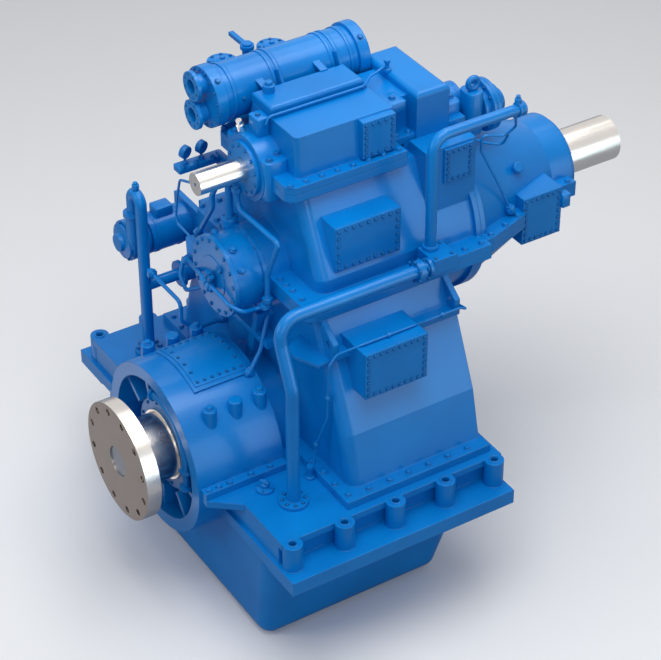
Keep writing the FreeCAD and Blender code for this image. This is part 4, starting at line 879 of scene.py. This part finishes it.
def gaugePieces(s):
    # stem, case and face of each gauge, one above the other on the manifold
    blocks("gauge_manifold", s["low"], s["high"], 0.01, 0.004)
    blocks("gauge_manifold_arm", s["armLow"], s["armHigh"], 0.01, 0.004)
    x = (s["low"][0] + s["high"][0]) / 2
    top = s["high"][2]
    stems = [(x, y, top - 0.005) for y in s["gauges"]]
    turnedPieces("gauge_stems", [(0, 0), (0.018, 0), (0.018, 0.02), (s["stem"], 0.024),
                                 (s["stem"], s["rise"]), (0, s["rise"])], stems, (0, 0, 1))
    middle = [(x, y + 0.02, top + s["rise"] + s["dial"] - 0.008) for y in s["gauges"]]
    r = s["dial"]
    turnedPieces("gauge_cases", [(0, 0), (r, 0), (r + 0.003, 0.004), (r + 0.003, 0.036),
                                 (r - 0.003, 0.04), (r - 0.004, 0.036), (0, 0.036)],
                 middle, s["facing"], columns=48)
    turnedPieces("gauge_dials", [(0, 0.0365), (r - 0.005, 0.0365), (r - 0.005, 0.0375),
                                 (0, 0.0375)], middle, s["facing"], material=makeDialFace(s))
    cocks = [(x + s["cockShift"], y, top) for y in s["cocks"]]
    turnedPieces("gauge_cocks", nutProfile(0.013, 0.05), cocks, (0, 0, 1), 6, 24)


gaugePieces(gaugeSettings)

# small oil tubes with their unions and clips

tubeSettings = {
    "thin": 0.008, "middle": 0.013, "thick": 0.017,
    "unions": [(name, end) for name in ("takeoffDrain", "lowLoop", "coverLoop", "upperDrain",
                                        "riserTap", "hatchTube") for end in (0, -1)]
              + [("branchLoop", -1), ("gaugeFeed", -1), ("bellTube", -1), ("bellTube", 0)],
    "clips": [(0.79, 0.975, 0.59), (0.86, 1.34, 0.94), (0.80, 1.75, 0.885),
              (0.735, 0.93, 0.23)],
    "clipsAlong": [(0, 0, 1), (0, 1, 0), (0, 1, 0), (0, 0, 1)],
    "deckCock": (0.735, 0.885, 0.0), "lowerTee": (0.005, 0.66, 1.03),
    "takeoffDrain": [(-0.05, 0.895, 1.60), (-0.04, 0.89, 1.46), (0.29, 0.9, 1.455),
                     (0.40, 0.9, 1.46), (0.36, 0.89, 1.35), (0.30, 0.88, 1.19),
                     (0.292, 0.88, 0.99)],
    "coverLoop": [(-0.61, 0.84, 0.80), (-0.125, 0.665, 1.045), (-0.02, 0.655, 1.05),
                  (0.21, 0.675, 1.007), (0.285, 0.72, 0.985), (0.245, 0.83, 0.943),
                  (0.292, 0.88, 0.98)],
    "rimTube": [(-0.06, 0.282, 0.365), (0.10, 0.282, 0.385), (0.235, 0.282, 0.335),
                (0.305, 0.282, 0.24), (0.335, 0.282, 0.12), (0.325, 0.282, 0.02)],
    "rimTail": [(0.325, 0.282, 0.03), (0.318, 0.282, -0.10)],
    "lowLoop": [(-0.414, 0.88, 0.714), (-0.09, 0.88, 0.725), (-0.02, 0.88, 0.80)],
    "gaugeFeed": [(-0.42, 0.8, 1.455), (-0.56, 0.8, 1.40), (-0.607, 0.8, 1.253),
                  (-0.632, 0.8, 1.11), (-0.612, 0.8, 1.058), (-0.43, 0.8, 1.05),
                  (-0.23, 0.8, 1.06)],
    "upperDrain": [(-0.16, 0.88, 1.66), (-0.268, 0.85, 1.434), (-0.263, 0.85, 1.357),
                   (-0.414, 0.85, 1.124), (-0.50, 0.87, 1.03)],
    "riserTap": [(-0.84, 0.69, 0.64), (-0.42, 0.69, 0.64), (-0.42, 0.69, 0.5),
                 (-0.43, 0.8, 0.40), (-0.43, 1.01, 0.40)],
    "branchLoop": [(-0.69, 0.87, 0.747), (-0.66, 0.82, 0.65), (-0.55, 0.8, 0.61),
                   (-0.356, 0.8, 0.75), (-0.25, 0.86, 0.95)],
    "hatchTube": [(0.235, 0.775, 0.50), (0.235, 0.80, 0.53), (0.2, 0.88, 0.60),
                  (0.15, 0.96, 0.78), (0.13, 1.01, 0.80)],
    "shelfTube": [(0.735, 0.895, 0.05), (0.735, 0.915, 0.12), (0.735, 0.93, 0.23),
                  (0.785, 0.975, 0.44), (0.79, 0.975, 0.59), (0.805, 0.975, 0.83),
                  (0.80, 1.03, 0.885), (0.86, 1.16, 0.94), (0.86, 1.52, 0.94),
                  (0.80, 1.62, 0.885), (0.80, 1.88, 0.885), (0.80, 1.925, 0.86),
                  (0.72, 1.925, 0.84)],
    "lidTube": [(0.062, 1.03, 2.02), (0.062, 1.05, 2.066), (0.062, 1.68, 2.066),
                (-0.014, 1.767, 2.06), (-0.05, 1.90, 2.075)],
    "bellTube": [(0.56, 2.39, 1.93), (0.48, 2.46, 1.76), (0.44, 2.41, 1.69),
                 (0.42, 2.26, 1.735), (0.41, 2.27, 1.62), (0.44, 2.394, 1.346),
                 (0.46, 2.48, 1.14)],
    "bellLoop": [(0.45, 2.43, 1.70), (0.40, 2.43, 1.60), (0.36, 2.33, 1.63),
                 (0.30, 2.22, 1.68)],
}


def smallTubes(s):
    # each route in its thickness, then unions near the ends of the runs
    tubes("thin_oil_tubes", [s[k] for k in ("gaugeFeed", "lidTube", "bellTube", "bellLoop",
                                            "shelfTube")], s["thin"])
    turnedPieces("tube_clips", nutProfile(0.014, 0.035), s["clips"], s["clipsAlong"], 6, 24)
    turnedPieces("deck_cock", [(0, 0), (0.03, 0), (0.03, 0.012), (0.015, 0.016),
                               (0.015, 0.06), (0.022, 0.064), (0.022, 0.09), (0, 0.09)],
                 s["deckCock"], (0, 0, 1))
    tubes("oil_drain_tubes", [s[k] for k in ("lowLoop", "riserTap", "branchLoop",
                                             "hatchTube", "coverLoop")], s["middle"])
    tubes("oil_feed_tubes", [s[k] for k in ("takeoffDrain", "upperDrain")], s["thick"], 0.07)
    tubes("drum_rim_tube", [s["rimTube"]], 0.028, 0.12, 20)
    tubes("drum_rim_tail", [s["rimTail"]], 0.02, 0.05, 16)
    rim = np.array(s["rimTube"])
    turnedPieces("drum_rim_union", nutProfile(0.037, 0.05, 1.15), rim[-1] + [0, 0, 0.01],
                 (0, 0, 1), 6, 24)
    turnedPieces("drum_rim_flanges", [(0, -0.008), (0.042, -0.008), (0.042, 0.008),
                                      (0, 0.008)], [s["rimTail"][-1], rim[0] + [0.03, 0, 0.002]],
                 [(0, 0, 1), (1, 0, 0.1)])
    tees = [s["coverLoop"][2], s["lowerTee"]]
    turnedPieces("cover_tees", nutProfile(0.028, 0.08), tees, (1, 0.1, -0.2), 6, 24)
    turnedPieces("cover_tee_knobs", [(0, 0), (0.011, 0), (0.011, 0.05), (0.02, 0.055),
                                     (0.02, 0.085), (0, 0.085)], tees, (0.35, 0, 1),
                 material=boltPaint)
    # a union a little way in from the tube's end, along its first or last run
    places = np.array([s[name][end] for name, end in s["unions"]])
    inner = np.array([s[name][1 if end == 0 else -2] for name, end in s["unions"]])
    turnedPieces("tube_unions", nutProfile(0.026, 0.06), places + (inner - places) * 0.15,
                 inner - places, 6, 24)


smallTubes(tubeSettings)
print("tubes and fittings placed")

# lifting eyes, vents and the control gear at the rear top


def eyes(name, places, direction, radius, bar):
    # a ring standing on its place: a circle of the given radius carries a circle of radius bar
    turns, sides = 32, 12
    turn, side = np.meshgrid(np.linspace(0, 2 * np.pi, turns, endpoint=False),
                             np.linspace(0, 2 * np.pi, sides), indexing="ij")
    loop = np.stack([(radius + bar * np.cos(side)) * np.cos(turn), bar * np.sin(side),
                     (radius + bar * np.cos(side)) * np.sin(turn) + radius + bar], -1)
    points = np.concatenate([loop, loop[:1]]).reshape(-1, 3)
    r, c = np.meshgrid(np.arange(turns), np.arange(sides - 1), indexing="ij")
    first = r * sides + c
    faces = np.stack([first, first + 1, first + sides + 1, first + sides], -1).reshape(-1, 4)
    return stamp(name, points, faces, places, direction)


rearSettings = {
    "eye": (0.20, 2.345, 1.895), "lidVent": (-0.05, 1.911, 2.045),
    "rearBox": ((0.44, 2.83, 1.07), (0.50, 2.89, 1.16)),
    "hubLow": (0.12, 2.29, 1.62), "hubHigh": (0.26, 2.40, 1.90), "valve": (0.15, 2.40, 1.743),
    "valveRing": 0.14, "valveBolt": 0.012, "boss": (0.32, 2.60, 1.34),
    "bossFacing": (0.75, 0.1, 0.66), "pipeEnd": (0.65, 2.354, 2.0),
    "pipeVent": (0.65, 2.335, 2.05), "riserVent": (-0.92, 0.685, 1.195),
}


def rearFittings(s):
    # turned pieces and blocks, each on its place
    eyes("rear_lifting_eye", s["eye"], (0, 0, 1), 0.034, 0.017)
    turnedPieces("lid_vent", [(0, -0.01), (0.026, -0.01), (0.026, 0.012), (0.013, 0.016),
                              (0.013, 0.05), (0.02, 0.054), (0.02, 0.07), (0, 0.07)],
                 s["lidVent"], (0, 0, 1))
    blocks("bell_rear_box", *s["rearBox"], 0.008, 0.004)
    blocks("control_hub", s["hubLow"], s["hubHigh"], 0.04, 0.012)
    turnedPieces("control_valve_body", [(0, 0), (0.125, 0), (0.125, 0.035), (0.16, 0.038),
                                        (0.16, 0.06), (0.155, 0.063), (0.16, 0.066),
                                        (0.16, 0.088), (0.12, 0.092), (0.115, 0.13),
                                        (0.07, 0.136), (0.07, 0.17), (0, 0.17)],
                 s["valve"], (0, 1, 0), columns=48)
    valve = ring(s["valve"], s["valveRing"], 12)
    bolts("control_valve_bolts", valve + [0, 0.038, 0], (0, -1, 0), s["valveBolt"])
    bolts("control_valve_nuts", valve + [0, 0.088, 0], (0, 1, 0), s["valveBolt"])
    turnedPieces("bell_boss", [(0, -0.05), (0.034, -0.05), (0.034, 0.03), (0.028, 0.036),
                               (0, 0.036)], s["boss"], s["bossFacing"])
    turnedPieces("control_pipe_cap", [(0, 0), (0.044, 0), (0.044, 0.02), (0.03, 0.03),
                                      (0, 0.03)], s["pipeEnd"], (0, 1, 0))
    turnedPieces("control_pipe_vent", nutProfile(0.016, 0.08), s["pipeVent"], (0, 0, 1))
    turnedPieces("riser_vent", nutProfile(0.018, 0.06), s["riserVent"], (0, 0, 1))


rearFittings(rearSettings)

# gussets that stiffen the casing's front corners

gussetSettings = {
    "thick": 0.022,
    "shelfTips": [(0.45, 1.02), (0.52, 0.87), (0.62, 0.855), (0.77, 0.93), (0.76, 1.03)],
    "shelfLevel": 0.807,
}


def shelfGussets(s):
    # a flat plate on each side: the outline repeated below and above, joined round its edge,
    # with both faces drawn to the outline's middle
    outline = np.array(s["shelfTips"])
    level, thick = s["shelfLevel"], s["thick"]
    count = len(outline)
    middle = outline.mean(0)
    rows = [np.repeat(middle[None], count, 0), outline, outline,
            np.repeat(middle[None], count, 0)]
    z = [level, level, level + thick, level + thick]
    grid = np.stack([np.column_stack([row, np.full(count, h)]) for row, h in zip(rows, z)])
    points = np.concatenate([grid.reshape(-1, 3) * [side, 1, 1] for side in (1, -1)])
    faces = np.concatenate([wrapFaces(4, count), wrapFaces(4, count) + 4 * count])
    return addPiece("shelf_gussets", points, faces, smooth=25)


shelfGussets(gussetSettings)

# crossed ribs on the casing's front wall, straps that hold the cooler to the oil box

barSettings = {                           # first corner, then the three edges
    "front_ribs": [((-0.17, 0.896, 0.625), (0.42, 0, 0), (0, 0, 0.04), (0, 0.144, 0)),
                   ((0.018, 0.9, 0.49), (0.083, 0, 0.32), (0.045, 0, 0), (0, 0.14, 0))],
    "cooler_straps": [((-0.247, y, 2.126), (0.1, 0, -0.014), (0, 0.048, 0), (0, 0, -0.01))
                      for y in (1.142, 1.522)],
}


def bars(name, places):
    # slanting bars: corner + i a + j b + k c, where i, j and k are 0 or 1
    steps = np.array([[i, j, k] for i in (0, 1) for j in (0, 1) for k in (0, 1)], float)
    sides = np.array([(0, 1, 3, 2), (4, 6, 7, 5), (0, 4, 5, 1), (2, 3, 7, 6), (0, 2, 6, 4),
                      (1, 5, 7, 3)])
    places = np.asarray(places, float)
    points = places[:, :1] + steps @ places[:, 1:]
    faces = sides + 8 * np.arange(len(places))[:, None, None]
    return addPiece(name, points.reshape(-1, 3), faces.reshape(-1, 4), smooth=25)


for barName, barPlaces in barSettings.items():
    bars(barName, barPlaces)

# painted shade of the centre hole in the takeoff shaft's end as a dark disc, bright seal ring
# round the output shaft's neck

shaftSettings = {
    "hole": 0.009, "holeEdge": 0.001,
    "ringInner": 0.2075, "ringOuter": 0.224, "ringFront": 0.298, "ringDepth": 0.022,
    "ringEdge": 0.003,
}


def shaftTrim(s):
    # two rings turned about their shafts' axes
    r, edge = s["hole"], s["holeEdge"]
    # painted shade: a dark disc on the shaft's end stands in for the shade inside its centre
    # hole
    low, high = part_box("takeoff_shaft")
    turnedPieces("takeoff_centre_hole_shade", [(0, -edge), (r, -edge), (r + edge, edge / 2),
                                         (0, edge / 2)],
                 (0, low[1], (low[2] + high[2]) / 2), (0, -1, 0), material=boltPaint,
                 body="takeoff_rotor")
    inner, outer, depth, edge = (s[k] for k in ("ringInner", "ringOuter", "ringDepth",
                                                "ringEdge"))
    turnedPieces("output_seal_ring", [(inner, 0), (outer - edge, 0), (outer, edge),
                                      (outer, depth), (inner, depth), (inner, 0)],
                 (0, s["ringFront"], 0), (0, 1, 0), columns=96, material=shaftSteel,
                 slot="shaft_steel")


shaftTrim(shaftSettings)

# pump end cover and motor trim

pumpSettings = {
    "x": -1.057, "z": 0.735, "front": 0.657, "ring": 0.12, "bolt": 0.012,
    "bandRadius": 0.126, "bands": (0.84, 1.0),
    "boxLow": (-0.05, 0.86, 0.11), "boxHigh": (0.05, 0.98, 0.18),  # from the pump's axis
}


def pumpFittings(s):
    # pieces turned about the pump's axis, and a box on top of its motor
    centre = np.array([s["x"], s["front"], s["z"]])
    turnedPieces("pump_end_cover", [(0, 0), (0.112, 0), (0.112, 0.02), (0.09, 0.026),
                                    (0.06, 0.03), (0.055, 0.055), (0, 0.055)], centre,
                 (0, -1, 0), columns=48)
    bolts("pump_cover_bolts", ring(centre, s["ring"], 8), (0, -1, 0), s["bolt"])
    r = s["bandRadius"]
    axis = np.array([s["x"], 0, s["z"]])
    bands = [axis + [0, y, 0] for y in s["bands"]]
    turnedPieces("motor_bands", [(r - 0.004, -0.01), (r + 0.003, -0.01), (r + 0.003, 0.01),
                                 (r - 0.004, 0.01), (r - 0.004, -0.01)], bands, (0, 1, 0),
                 columns=64)
    blocks("motor_terminal_box", axis + s["boxLow"], axis + s["boxHigh"], 0.012, 0.005)


pumpFittings(pumpSettings)
print("gussets, pump and rear gear placed")
